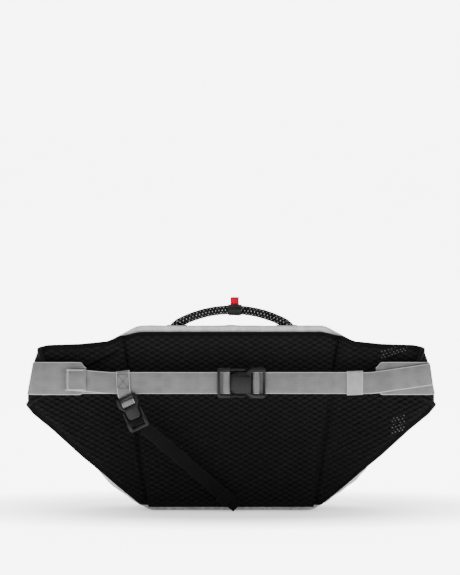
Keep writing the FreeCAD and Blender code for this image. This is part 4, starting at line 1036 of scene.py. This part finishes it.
class PACK_OT_back_panel(bpy.types.Operator):
    """Quilted and padded back panel with its rolled top edge"""

    bl_idname = "pack.back_panel"
    bl_label = "Back panel"

    ROWS, COLUMNS = 300, 290
    FLAT_HALF, SHOULDER = 104 * MM, 4.5 * MM

    def execute(self, context):
        low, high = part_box("back_panel_mesh")
        self.low, self.top = low[2], high[2] - 2.5 * MM
        self.face = low[1]
        self.low_half = 97 * MM
        self.top_half = 131 * MM
        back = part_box("back_panel_foam")[1][1]
        front = [[self.place(i / self.ROWS, 2 * j / self.COLUMNS - 1) for j in range(self.COLUMNS + 1)]
                 for i in range(self.ROWS + 1)]
        panel = pad_on_plane("back_panel_pad", front, back)
        finish_piece(panel, "mesh", "pack", ["back_panel_mesh", "back_panel_foam"], smooth=80)
        self.top_roll(front[-1][::8])
        for side in (-1, 1):
            path = [self.place(v / 20, side * 0.965) + Vector((0, -0.15 * MM, 0)) for v in range(1, 20)]
            stitches(f"panel_stitching_{'left' if side < 0 else 'right'}", path, (0, -1, 0), "pack")
        return {"FINISHED"}

    def top_at(self, x):
        """Height of the top edge, which falls to the wings at both ends."""
        return self.top - self.SHOULDER * ease((abs(x) - self.FLAT_HALF) / (self.top_half - self.FLAT_HALF))

    def place(self, v, u):
        """A point of the padded face; v runs up and u runs across from -1 to 1."""
        s = sizes()
        bow = 2.0 * MM * math.sin(math.pi * v)
        half = self.low_half + (self.top_half - self.low_half) * v + bow
        x = half * u
        z = self.low + (self.top_at(x) - self.low) * v
        side, end = half - abs(x), min(z - self.low, self.top_at(x) - z)
        border = ease(side / (9 * MM)) * ease(end / (9 * MM))
        crown = s.panel_crown * (1 - 0.7 * u * u) * ease(end / (60 * MM))
        lean = 4.5 * MM * ease((z - 0.14) / 0.09)
        stitched = ease((min(side, end) - 4 * MM) / (3 * MM))
        depth = s.quilt_deep * (quilting(x, z) - 0.5) * stitched
        return Vector((x, self.face + lean + 3.0 * MM * (1 - border ** 0.6) - crown * border - depth, z))

    def top_roll(self, edge):
        """Tape rolled over the panel's top edge, from shoulder to shoulder."""
        line = curve_through([p + Vector((0, 0.4 * MM, -1.6 * MM)) for p in edge], 3.0)
        ways = tangents(line)

        def inward(share):
            way = ways[min(len(ways) - 1, int(share * (len(ways) - 1)))]
            return Vector((0, -1, 0)).cross(way)

        roll = strap("panel_top_binding", line, inward, sizes().tape_wide * 0.8, 4.4 * MM)
        finish_piece(roll, "binding", "pack", ["back_panel_binding"], smooth=60)


# ------------------------------------------------------------------ hip wings

WING_LOW = [(98.5, 8), (106, 8), (130, 28), (152, 47.5), (174, 66), (207, 97), (240, 125)]
WING_TOP = [(126, 207), (131, 205), (138, 201.8), (145, 199), (176, 196), (212, 195), (227, 192.5)]
FLAP_MID_Y = -77.8
LEAN = math.tan(math.radians(12))


class Wing:
    """The middle surface of one hip wing: out from the seam, round the fold, back along the tip."""

    WING_PARTS, FOLD_PARTS, FLAP_PARTS, UP_PARTS = 150, 16, 28, 160
    ROOT_LOW, ROOT_TOP, TIP_OUT, TIP_SLANT, HALF_PAD = 95.0, 129.0, 238.6, 13.0, 3.5

    def __init__(self, side):
        self.side = side
        self.columns = self.WING_PARTS + self.FOLD_PARTS + self.FLAP_PARTS + 1
        self.grid = [[self.place(i, j / self.UP_PARTS) for j in range(self.UP_PARTS + 1)]
                     for i in range(self.columns)]

    def wing_y(self, x):
        """How far back the wing's middle surface lies at x."""
        return -40.3 - (x - 98.5) * LEAN

    def fold(self, v):
        """Centre and radius of the fold at a share of its height."""
        outer = self.TIP_OUT - self.TIP_SLANT * v
        radius = (self.wing_y(outer - 2.4 * self.HALF_PAD) - FLAP_MID_Y) / 2
        return outer - radius - self.HALF_PAD, radius

    def wing_level(self, x, v):
        """Height on the wing at a share v of the way up."""
        low, top = interpolate(WING_LOW, x), interpolate(WING_TOP, x)
        return low + (top - low) * v

    def flap_level(self, x, v):
        """Height on the folded tip at a share v of the way up."""
        low = min(138.8, 125.0 + (239.0 - x) * 0.58)
        top = max(175.5, 193.0 - (226.5 - x) * 1.6)
        return low + (top - low) * v

    def place(self, i, v):
        centre, radius = self.fold(v)
        if i <= self.WING_PARTS:
            root = self.ROOT_LOW + (self.ROOT_TOP - self.ROOT_LOW) * v
            x = root + (centre - root) * i / self.WING_PARTS
            y = self.wing_y(x)
            z = self.wing_level(x, v)
        elif i <= self.WING_PARTS + self.FOLD_PARTS:
            turn = math.pi * (i - self.WING_PARTS) / self.FOLD_PARTS
            x = centre + radius * math.sin(turn)
            y = self.wing_y(centre) - radius + radius * math.cos(turn)
            out = x + self.HALF_PAD * math.sin(turn)
            over = ease((turn - math.pi / 3) / (math.pi / 3))
            z = self.wing_level(out, v) * (1 - over) + self.flap_level(out, v) * over
        else:
            x = centre + (172 - centre) * (i - self.WING_PARTS - self.FOLD_PARTS) / self.FLAP_PARTS
            y = FLAP_MID_Y
            z = self.flap_level(x, v)
        return Vector((self.side * x, y, z)) * MM

    def normal(self, i, j):
        """Towards the mesh side of the sheet."""
        a = self.grid[min(i + 1, self.columns - 1)][j] - self.grid[max(i - 1, 0)][j]
        b = self.grid[i][min(j + 1, self.UP_PARTS)] - self.grid[i][max(j - 1, 0)]
        return a.cross(b).normalized() * self.side

    def half_thick(self, i, j):
        """Half of the pad's thickness: full in the middle, thin at the bound edges."""
        line = self.grid[i]
        up = min((line[j] - line[0]).length, (line[j] - line[-1]).length)
        edge = ease(up / (14 * MM))
        return sizes().wing_thick / 2 * (0.55 + 0.45 * edge)


class PACK_OT_wings(bpy.types.Operator):
    """Hip wings: quilted mesh, smooth cover, folded tip and edge binding"""

    bl_idname = "pack.wings"
    bl_label = "Hip wings"

    def execute(self, context):
        for side, word in ((1, "right"), (-1, "left")):
            self.wing(Wing(side), word)
        return {"FINISHED"}

    def wing(self, wing, word):
        s = sizes()
        inner, outer = [], []
        for i in range(wing.columns):
            row_in, row_out = [], []
            for j in range(wing.UP_PARTS + 1):
                at, way, half = wing.grid[i][j], wing.normal(i, j), wing.half_thick(i, j)
                line = wing.grid[i]
                edge = min((line[j] - line[0]).length, (line[j] - line[-1]).length)
                quilted = ease((edge - 8 * MM) / (3 * MM)) * (1 - ease((i - wing.WING_PARTS + 8) / 6.0))
                lift = s.quilt_deep * (quilting(at.x, at.z) - 0.5) * quilted
                lift -= self.crease(at) if wing.side < 0 else 0.0
                seam = 2.4 * MM * (1 - ease((i - 3) / 7.0))
                row_in.append(at + way * (half + lift - seam))
                row_out.append(at - way * (half - 0.3 * MM))
            inner.append(row_in)
            outer.append(row_out)
        middle = [list(row) for row in wing.grid]
        pad = grid_solid(f"wing_pad_{word}", inner, middle)
        finish_piece(pad, "mesh", "pack", [f"wing_mesh_{word}", f"wing_foam_{word}"], smooth=80)
        coarse = slice(None, None, 2)
        cover = grid_solid(f"wing_shell_{word}", [row[coarse] for row in middle[coarse]],
                           [row[coarse] for row in outer[coarse]])
        finish_piece(cover, "cover", "pack", [f"wing_cover_{word}"], smooth=80)
        self.binding(wing, word)
        self.stitching(wing, word)
        self.holes(wing, word, inner)

    def crease(self, at):
        """Depth of the slanting fold that the left wing shows above its belt."""
        start, end = Vector((-0.169, 0, 0.170)), Vector((-0.131, 0, 0.189))
        way = end - start
        flat = Vector((at.x, 0, at.z)) - start
        share = flat.dot(way) / way.length_squared
        if not -0.15 < share < 1.15:
            return 0.0
        off = (flat - way * share).length
        fade = ease((share + 0.15) / 0.3) * ease((1.15 - share) / 0.3)
        return 4.0 * MM * fade * math.exp(-(off / (2.6 * MM)) ** 2)

    def holes(self, wing, word, inner):
        """Small eyelets punched through the mesh in slanting rows."""
        paths = []
        for x_low, z_low, rows, count in ((176, 181, 3, 8), (188, 93, 6, 4)):
            for row in range(rows):
                for k in range(count):
                    spot = Vector((x_low + 3.9 * k + 2.0 * (row % 2), 0, z_low + 3.4 * row + 1.2 * k))
                    at = self.surface(wing, inner, spot)
                    if at is not None:
                        paths.append([at + Vector((0, 0.5 * MM, 0)), at + Vector((0, -0.25 * MM, 0))])
        eyelets = tubes(f"wing_eyelets_{word}", paths, 0.8 * MM, 8)
        finish = "eyelet" if wing.side > 0 else "dark_thread"
        finish_piece(eyelets, finish, "pack", merge_mm=0.0005)

    def surface(self, wing, inner, spot):
        """The point of the mesh side nearest a place in the front view."""
        best = min((Vector((p.x * wing.side / MM - spot.x, 0, p.z / MM - spot.z)).length_squared, i, j)
                   for i, row in enumerate(inner[60:wing.WING_PARTS], 60) for j, p in enumerate(row))
        return inner[best[1]][best[2]] if best[0] < 4 else None

    def binding(self, wing, word):
        """Tape folded over the lower and upper edges."""
        wide = sizes().tape_wide
        last = wing.WING_PARTS + wing.FOLD_PARTS + 9
        for j, edge in ((0, "lower"), (wing.UP_PARTS, "upper")):
            toward = 1 if j == 0 else -1
            line, across = [], []
            for i in range(0, last, 2):
                at = wing.grid[i][j]
                inside = wing.grid[i][j + toward * 14]
                way = (wing.grid[min(i + 1, wing.columns - 1)][j] - wing.grid[max(i - 1, 0)][j]).normalized()
                into = inside - at
                into = (into - way * into.dot(way)).normalized()
                line.append(at + into * (wide / 2 - 1.0 * MM))
                across.append(into)

            def width_way(share, across=across):
                return across[min(len(across) - 1, int(share * (len(across) - 1) + 0.5))]

            tape = strap(f"wing_binding_{edge}_{word}", line, width_way, wide, 4.7 * MM)
            nodes = [f"wing_binding_{word}"] if edge == "lower" else []
            finish_piece(tape, "binding", "pack", nodes, smooth=60)

    def stitching(self, wing, word):
        """A line of stitches just inside each binding, on the mesh side."""
        for j, edge in ((7, "lower"), (wing.UP_PARTS - 7, "upper")):
            rows = range(4, wing.WING_PARTS - 4, 6)
            path = []
            for i in rows:
                at = wing.grid[i][0 if edge == "lower" else -1]
                inside = wing.grid[i][j]
                into = (inside - at).normalized()
                spot = at + into * 8.6 * MM
                path.append(spot + wing.normal(i, j) * (wing.half_thick(i, j) + 0.3 * MM))
            stitches(f"wing_stitching_{edge}_{word}", path, (0, -1, 0), "pack")


class PACK_OT_bands(bpy.types.Operator):
    """Wide webbing bands round the folded wing tips"""

    bl_idname = "pack.bands"
    bl_label = "Hip bands"

    def execute(self, context):
        low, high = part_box("hip_band_right")
        wide = high[2] - low[2]
        middle = (high[2] + low[2]) / 2 / MM
        thick = 1.2 * MM
        tip_low, tip_tall, proud = 125, 67.5, 0.65
        for side, word in ((1, "right"), (-1, "left")):
            wing = Wing(side)
            centre, radius = wing.fold((middle - tip_low) / tip_tall)
            reach = radius + wing.HALF_PAD + proud
            path = []
            for x in (188, 200, 212, centre - 3):
                path.append(Vector((x, wing.wing_y(x) + 4.2, middle)))
            for k in range(0, 13):
                turn = math.pi * k / 12
                path.append(Vector((centre + reach * math.sin(turn),
                                    wing.wing_y(centre) - radius + reach * math.cos(turn), middle)))
            front = FLAP_MID_Y - wing.HALF_PAD - proud
            over_belt = 1.9 if side < 0 else 0.0
            for x in (centre - 6, 218, 208, 198, 188, 178, 170, 167.6):
                path.append(Vector((x, front - over_belt * ease((222 - x) / 22), middle)))
            path = curve_through([Vector((side * p.x, p.y, p.z)) * MM for p in path], 2.0)

            def slope(share, side=side):
                lean = 0.185 * (1 - ease((share - 0.55) / 0.3))
                return Vector((-side * lean, 0, 1))

            def width(share, wide=wide):
                return wide - 12.6 * MM * ease((share - 0.944) / 0.056) if share > 0.944 else wide

            band = strap(f"hip_band_web_{word}", path, slope, width, thick)
            finish_piece(band, "webbing", "pack", [f"hip_band_{word}"], smooth=50)
        return {"FINISHED"}


# ------------------------------------------------------------------ belt

def belt_path(side, x_bar, x_end, y_sewn, y_tail, y_wrap, z, climb=0.0, bend=0.163, sewn_end=None):
    """Plan of a belt end: sewn layer in, round the buckle bar, tail layer out."""
    bar_half = 3.4 * MM

    def at(x, y):
        share = max(0.0, abs(x) - bend) / (abs(x_end) - bend)
        return Vector((x, y, z + climb * share))

    inner = x_bar - side * bar_half
    outer = x_bar + side * bar_half
    path = []
    start = sewn_end if sewn_end is not None else x_end
    far = [start + (outer + side * 8 * MM - start) * k / 14 for k in range(15)]
    path += [at(x, y_sewn) for x in far]
    path += [at(outer, y_sewn), at(inner + side * 0.5 * MM, y_sewn)]
    middle = (y_sewn + y_wrap) / 2
    path += [at(inner - side * 0.5 * MM, middle), at(inner + side * 0.6 * MM, y_wrap)]
    path += [at(outer - side * 0.9 * MM, y_wrap), at(outer - side * 0.1 * MM, y_wrap + 1.1 * MM),
             at(outer + side * 0.6 * MM, y_tail - 0.4 * MM), at(outer + side * 2.2 * MM, y_tail)]
    far = [outer + side * 8 * MM + (x_end - outer - side * 8 * MM) * k / 16 for k in range(17)]
    path += [at(x, y_tail) for x in far]
    return curve_through(path, 1.6)


class PACK_OT_belt(bpy.types.Operator):
    """Belt webbing, its folded hem and the elastic keeper"""

    bl_idname = "pack.belt"
    bl_label = "Belt"

    HEM_LIFT = 4.2 * MM

    def execute(self, context):
        thick = sizes().webbing_thick
        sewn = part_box("belt_sewn_left")
        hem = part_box("belt_hem_left")
        tail_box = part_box("belt_tail_left")
        right_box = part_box("belt_right")
        y_sewn = (sewn[0][1] + sewn[1][1]) / 2
        y_tail = hem[1][1] + thick / 2
        y_wrap = tail_box[0][1] + thick / 2
        z = (sewn[0][2] + sewn[1][2]) / 2
        wide = sewn[1][2] - sewn[0][2]
        bar = 17.6 * MM
        middle = 12 * MM
        climb = right_box[1][2] - tail_box[1][2]
        path = belt_path(1, middle + bar, right_box[1][0], y_sewn, y_tail, y_wrap, z, climb)
        right = strap("belt_web_right", path, (0, 0, 1), wide, thick)
        finish_piece(right, "webbing", "pack", ["belt_right"], smooth=50)
        path = belt_path(-1, middle - bar, tail_box[0][0], y_sewn, y_tail, y_wrap, z,
                         climb=self.HEM_LIFT, bend=0.14, sewn_end=tail_box[1][0] - 22 * MM)
        left = strap("belt_web_left", path, (0, 0, 1), wide, thick)
        finish_piece(left, "webbing", "main_prongs", ["belt_tail_left"], smooth=50)
        self.sewn_layer(y_sewn, z, wide, thick)
        self.hem(hem, wide)
        self.keeper()
        return {"FINISHED"}

    def sewn_layer(self, y, z, wide, thick):
        """The sewn layer under the left tail, which ends early so that the buckle has room to slide."""
        start, stop, mouth = -0.205, -0.060, -0.168
        path = []
        for k in range(71):
            x = start + (stop - start) * k / 70
            tucked = 1 - ease((x - mouth) / 0.012)
            path.append(Vector((x, y + 1.5 * MM * tucked, z)))
        layer = strap("belt_web_sewn", path, (0, 0, 1), wide, thick)
        finish_piece(layer, "webbing", "pack", ["belt_sewn_left"], smooth=50)

    def hem(self, box, wide):
        """The folded end of the tail, with a bar of zigzag stitches."""
        y = (box[0][1] + box[1][1]) / 2
        z = (box[0][2] + box[1][2]) / 2 + self.HEM_LIFT * 0.85
        thick = box[1][1] - box[0][1]
        path = [Vector((box[0][0] + (box[1][0] - box[0][0]) * k / 12, y, z)) for k in range(13)]
        hem = strap("belt_hem_web", path, (0, 0, 1), wide, thick)
        finish_piece(hem, "webbing", "main_prongs", ["belt_hem_left"], smooth=50)
        front = box[0][1]
        zigzag, count = [], 22
        for k in range(count + 1):
            x = box[0][0] + (1.2 if k % 2 else 3.6) * MM
            height = z - wide / 2 + 1.2 * MM + (wide - 2.4 * MM) * k / count
            zigzag.append(Vector((x, front - 0.1 * MM, height)))
        stitching = tubes("belt_hem_zigzag", [zigzag], sizes().stitch_round * 1.3, 6)
        finish_piece(stitching, "thread", "main_prongs", merge_mm=0.0005)
        for word, height in (("lower", z - wide / 2 + 1.6 * MM), ("upper", z + wide / 2 - 1.6 * MM)):
            row = [Vector((box[0][0] + 4 * MM, front, height)), Vector((box[1][0] - 2 * MM, front, height))]
            stitches(f"belt_hem_row_{word}", row, (0, -1, 0), "main_prongs", "thread",
                     step=1.8 * MM)

    def keeper(self):
        """Grey elastic loop round both layers of the belt."""
        low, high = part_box("belt_keeper")
        wall = 1.2 * MM
        loop = ring_path((low[0] + high[0]) / 2, low[1] + wall / 2, high[1] - wall / 2,
                         low[2] + wall / 2, high[2] - wall / 2, 1.6 * MM)
        keeper = strap("belt_keeper_elastic", loop, (1, 0, 0.04), high[0] - low[0], wall, closed=True)
        finish_piece(keeper, "elastic", "belt_keeper", ["belt_keeper"], smooth=50)


def ring_path(x, y_low, y_high, z_low, z_high, corner):
    """A closed rounded rectangle in a plane across X."""
    spots = []
    for y, z, start in ((y_high - corner, z_high - corner, 0), (y_low + corner, z_high - corner, 90),
                        (y_low + corner, z_low + corner, 180), (y_high - corner, z_low + corner, 270)):
        for k in range(5):
            turn = math.radians(start + 90 * k / 4)
            spots.append(Vector((x, y + corner * math.cos(turn), z + corner * math.sin(turn))))
    dense = []
    for a, b in zip(spots, spots[1:] + spots[:1]):
        parts = max(1, int((b - a).length / (2 * MM)))
        dense += [a.lerp(b, k / parts) for k in range(parts)]
    return dense


# ------------------------------------------------------------------ buckles

class PACK_OT_buckles(bpy.types.Operator):
    """Both side-release buckles, with moulded soft edges"""

    bl_idname = "pack.buckles"
    bl_label = "Buckles"

    def execute(self, context):
        self.thumb_plate()
        for prefix, prong, bevel in (("main_buckle", "main", 0.6), ("strap_buckle", "strap", 0.45)):
            softened(f"{prefix}_receiver", "plastic", "pack", bevel, 3)
            for half, body in (("base", "prongs"), ("upper", "prong_up"), ("lower", "prong_low")):
                softened(f"{prefix}_prong_{half}", "plastic", f"{prong}_{body}",
                         bevel * 0.8, 3)
        return {"FINISHED"}

    def thumb_plate(self):
        """Raised plate on the main buckle's block, with a wide facet along its top."""
        low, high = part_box("main_buckle_receiver")
        middle = (low[2] + high[2]) / 2
        wide, tall, thick, facet = 20.5 * MM, 22.0 * MM, 1.7 * MM, 3.8 * MM
        centre_x = low[0] + 12.6 * MM
        deselect()
        bpy.ops.mesh.primitive_cube_add(size=1.0, location=(0, 0, 0))
        plate = context_object("main_buckle_plate")
        spot = Vector((centre_x, low[1] - thick / 2 + 0.9 * MM, middle))
        plate.data.transform(Matrix.Translation(spot) @ Matrix.Diagonal((wide, thick, tall, 1.0)))
        choose(plate)
        bpy.ops.object.mode_set(mode="EDIT")
        bpy.ops.mesh.select_mode(type="VERT")
        bpy.ops.mesh.select_all(action="DESELECT")
        mesh = bmesh.from_edit_mesh(plate.data)
        for vert in mesh.verts:
            if vert.co.y < spot.y and vert.co.z > middle:
                vert.select_set(True)
        bmesh.update_edit_mesh(plate.data)
        bpy.ops.transform.translate(value=(0, 0, -facet))
        bpy.ops.object.mode_set(mode="OBJECT")
        apply_modifier(plate, "BEVEL", "soft_edges", width=0.3 * MM, segments=2, limit_method="ANGLE",
                       angle_limit=math.radians(20))
        finish_piece(plate, "plastic", "pack", smooth=25)


# ------------------------------------------------------------------ stabiliser

class PACK_OT_stabiliser(bpy.types.Operator):
    """Loop round the belt, the black strap, its wrap and its keeper"""

    bl_idname = "pack.stabiliser"
    bl_label = "Stabiliser strap"

    LEAN = math.radians(25)
    STRAP_TOP = (-99, -85.8, 100)
    LOOP_X = -125

    def execute(self, context):
        self.loop()
        self.wrap()
        self.strap()
        self.keeper()
        return {"FINISHED"}

    def loop(self):
        """Grey webbing hung round the belt and through the small buckle's end bar."""
        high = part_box("stabiliser_loop")[1]
        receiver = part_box("strap_buckle_receiver")
        y_buckle = (receiver[0][1] + receiver[1][1]) / 2
        front, back = -88.2 * MM, high[1] + 0.6 * MM
        top = high[2] - 0.6 * MM
        middle = Vector(((receiver[0][0] + receiver[1][0]) / 2 / MM + 5.2, 0, 117.7))

        def on_buckle(along, out):
            return (middle.x - along * math.sin(self.LEAN), y_buckle / MM + out,
                    middle.z + along * math.cos(self.LEAN))

        spots = [
            (self.LOOP_X, back / MM, 152), (self.LOOP_X, back / MM, 160),
            (self.LOOP_X, back / MM - 0.5, 165.2), (self.LOOP_X, (front + back) / 2 / MM, top / MM + 0.2),
            (self.LOOP_X, front / MM + 0.5, 165.2),
            (self.LOOP_X, front / MM, 160), (-124.6, front / MM, 152), (-124, front / MM, 144),
            on_buckle(24, 1.6), on_buckle(20.4, 2.4), on_buckle(17.2, 2.5), on_buckle(15.9, 0.6),
            on_buckle(15.2, -1.2), on_buckle(13.6, -1.9), on_buckle(11.6, -1.9), on_buckle(9.9, -0.4),
            on_buckle(10.2, 1.4), on_buckle(13, 2.4), on_buckle(17, 3.2), on_buckle(21, 3.7),
            (-124.2, back / MM - 2.4, 141.5), (-124.8, back / MM, 146),
        ]
        path = curve_through([Vector(spot) * MM for spot in spots], 1.2, closed=True)

        def across(share):
            near_bar = ease((share - 0.36) / 0.12) * (1 - ease((share - 0.84) / 0.12))
            return Vector((1, 0, 0.12 + 0.34 * near_bar))

        front_y = front - 0.72 * MM
        corners = [Vector((x * MM, front_y, z * MM)) for x, z in
                   ((-131.2, 146.5), (-131.6, 162.5), (-118.6, 162.5), (-118.2, 146.5))]
        for k, (a, b) in enumerate(((0, 1), (1, 2), (2, 3), (3, 0), (0, 2), (1, 3))):
            row = [corners[a].lerp(corners[b], f) for f in (0, 0.5, 1)]
            stitches(f"loop_stitching_{k}", row, (0, -1, 0), "pack", step=1.7 * MM)
        loop = strap("stabiliser_loop_web", path, across, 15 * MM, 1.2 * MM, closed=True)
        finish_piece(loop, "webbing", "pack", ["stabiliser_loop"], smooth=50)

    def wrap(self):
        """Black webbing over the bar of the moving half."""
        low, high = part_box("stabiliser_wrap")
        centre = (Vector(low) + Vector(high)) / 2
        down = Vector((math.sin(self.LEAN), 0, -math.cos(self.LEAN)))
        side = Vector((math.cos(self.LEAN), 0, math.sin(self.LEAN)))
        reach_along, reach_out = 3.3 * MM, 1.9 * MM
        path = []
        for k in range(24):
            turn = 2 * math.pi * k / 24
            square = max(abs(math.cos(turn)), abs(math.sin(turn))) ** 0.6
            path.append(centre + down * (reach_along * math.cos(turn) / square)
                        + Vector((0, 1, 0)) * (reach_out * math.sin(turn) / square))
        wrap = strap("stabiliser_wrap_web", path, side, 14.6 * MM, 1.2 * MM, closed=True)
        finish_piece(wrap, "strap", "strap_prongs", ["stabiliser_wrap"], smooth=50)

    def line(self, sag=1.4):
        """The strap's middle line from the buckle to the bottom seam."""
        top, foot = Vector(self.STRAP_TOP), Vector((5, -48.8, 7.5))
        spots = []
        for k in range(13):
            f = k / 12
            bow = math.sin(math.pi * min(1.0, f / 0.42)) * sag
            spots.append((top.lerp(foot, f) + Vector((0.6, 0, -0.6)) * -bow) * MM)
        return spots

    def strap(self):
        """Black webbing from the small buckle down to the bottom seam."""
        spots = self.line()
        spots.append(Vector((7.4, -47.2, 5.2)) * MM)
        path = curve_through(spots, 2.5)
        way = (path[-1] - path[0]).normalized()
        side = way.cross(Vector((0, 1, 0))).normalized()
        web = strap("stabiliser_strap_web", path, side, 15 * MM, 1.2 * MM)
        finish_piece(web, "strap", "pack", ["stabiliser_strap"], smooth=50)

    def keeper(self):
        """Black elastic round the strap near its foot."""
        top, foot = Vector(self.STRAP_TOP) * MM, Vector((5, -48.8, 6.5)) * MM
        way = (foot - top).normalized()
        side = way.cross(Vector((0, 1, 0))).normalized()
        out = side.cross(way)
        centre = foot - way * 16.5 * MM
        half, reach, corner = 8.3 * MM, 1.4 * MM, 1.0 * MM
        path = []
        for a, b, start in ((half - corner, reach - corner, 0), (corner - half, reach - corner, 90),
                            (corner - half, corner - reach, 180), (half - corner, corner - reach, 270)):
            for k in range(4):
                turn = math.radians(start + 90 * k / 3)
                path.append(centre + side * (a + corner * math.cos(turn))
                            + out * (b + corner * math.sin(turn)))
        keeper = strap("strap_keeper_elastic", path, way, 13 * MM, 1.0 * MM, closed=True)
        finish_piece(keeper, "black_elastic", "strap_keeper", ["strap_keeper"], smooth=50)


# ------------------------------------------------------------------ handle

class PACK_OT_handle(bpy.types.Operator):
    """Braided rope handle with its label sleeve, red tab and anchor patches"""

    bl_idname = "pack.handle"
    bl_label = "Rope handle"

    def execute(self, context):
        low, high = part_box("handle_rope")
        self.middle = (low[0] + high[0]) / 2
        self.half = (high[0] - low[0]) / 2
        self.y = (low[1] + high[1]) / 2
        self.round = (high[1] - low[1]) / 2
        self.apex = high[2] - self.round
        self.rope()
        self.core()
        softened("handle_label_sleeve", "label", "handle", 0.5, 3)
        self.tab()
        for side in ("left", "right"):
            softened(f"handle_anchor_{side}", "cover", "pack", 0.2)
        return {"FINISHED"}

    def line(self, count=150):
        """The rope's middle line: a flat arch whose ends dip into the top seam."""
        points = []
        reach = self.half + 2 * MM
        for k in range(count + 1):
            x = -reach + 2 * reach * k / count
            share = abs(x) / (62 * MM)
            drop = 15.0 * MM * share ** 2.1 + 60 * MM * max(0.0, share - 1.0) ** 1.5
            points.append(Vector((self.middle + x, self.y, self.apex - drop)))
        return points

    def core(self):
        """The dark middle of the rope, inside its strands."""
        body = tubes("rope_core", [self.line(80)], self.round - 0.9 * MM, 14)
        finish_piece(body, "rope", "handle")

    def rope(self):
        """Strands that turn both ways and pass over and under each other."""
        s = sizes()
        line = self.line(260)
        ways = tangents(line)
        strands = {"rope": [], "tracer": []}
        for turn_way in (1, -1):
            for strand in range(s.rope_strands):
                path = []
                for k, (at, way) in enumerate(zip(line, ways)):
                    f = k / (len(line) - 1)
                    turn = turn_way * 2 * math.pi * s.rope_turns * f + 2 * math.pi * strand / s.rope_strands
                    weave = math.cos(2 * math.pi * s.rope_turns * f * s.rope_strands + math.pi * strand
                                     + (0 if turn_way > 0 else math.pi))
                    reach = self.round - 0.62 * MM + 0.22 * MM * weave
                    up = way.cross(Vector((0, 1, 0))).normalized()
                    path.append(at + Vector((0, 1, 0)) * (reach * math.sin(turn))
                                + up * (reach * math.cos(turn)))
                pale = strand % 3 == 0
                strands["tracer" if pale else "rope"].append(path)
        for finish, paths in strands.items():
            name = "rope_tracers" if finish == "tracer" else "rope_braid"
            radius = (0.75 if finish == "rope" else 0.42) * MM
            nodes = ["handle_rope"] if finish == "rope" else []
            finish_piece(tubes(name, paths, radius, 6), finish, "handle", nodes, merge_mm=0.0005)

    def tab(self):
        """A folded red woven tab that stands above the sleeve."""
        low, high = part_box("handle_tab")
        middle_x = (low[0] + high[0]) / 2
        y = (low[1] + high[1]) / 2
        gap = 0.45 * MM
        foot, middle_z = low[2] - 1.0 * MM, (low[2] + high[2]) / 2
        shoulder, top = high[2] - 0.8 * MM, high[2] - 0.4 * MM
        fold = ((-gap, foot), (-gap, middle_z), (-gap * 0.8, shoulder), (0, top), (gap * 0.8, shoulder),
                (gap, middle_z), (gap, foot))
        path = [Vector((middle_x, y + step, z)) for step, z in fold]
        tab = strap("red_tab_cloth", curve_through(path, 0.6), (1, 0, 0), high[0] - low[0], 0.7 * MM)
        finish_piece(tab, "tab", "handle", ["handle_tab"], smooth=50)


# ------------------------------------------------------------------ add-on

OPERATORS = (PACK_OT_studio, PACK_OT_bag, PACK_OT_pocket, PACK_OT_zips, PACK_OT_back_panel, PACK_OT_wings,
             PACK_OT_bands, PACK_OT_belt, PACK_OT_buckles, PACK_OT_stabiliser, PACK_OT_handle)


class PACK_PT_sidebar(bpy.types.Panel):
    """Lists the pack's sizes, colours and building steps"""

    bl_label = "Waist pack"
    bl_idname = "PACK_PT_sidebar"
    bl_space_type = "VIEW_3D"
    bl_region_type = "UI"
    bl_category = "Waist pack"

    def draw(self, context):
        layout = self.layout
        for title, group in (("Sizes", context.scene.pack_sizes), ("Colours", context.scene.pack_colours)):
            box = layout.box()
            box.label(text=title)
            for name in group.bl_rna.properties.keys():
                if name not in ("rna_type", "name"):
                    box.prop(group, name)
        for step in OPERATORS:
            layout.operator(step.bl_idname)


CLASSES = (PackSizes, PackColours, *OPERATORS, PACK_PT_sidebar)


def register():
    for item in CLASSES:
        bpy.utils.register_class(item)
    bpy.types.Scene.pack_sizes = bpy.props.PointerProperty(type=PackSizes)
    bpy.types.Scene.pack_colours = bpy.props.PointerProperty(type=PackColours)


def unregister():
    del bpy.types.Scene.pack_colours
    del bpy.types.Scene.pack_sizes
    for item in reversed(CLASSES):
        bpy.utils.unregister_class(item)


def main():
    """Builds the pack."""
    register()
    make_materials()
    for step in OPERATORS:
        group, name = step.bl_idname.split(".")
        getattr(getattr(bpy.ops, group), name)()


if __name__ == "__main__":
    main()
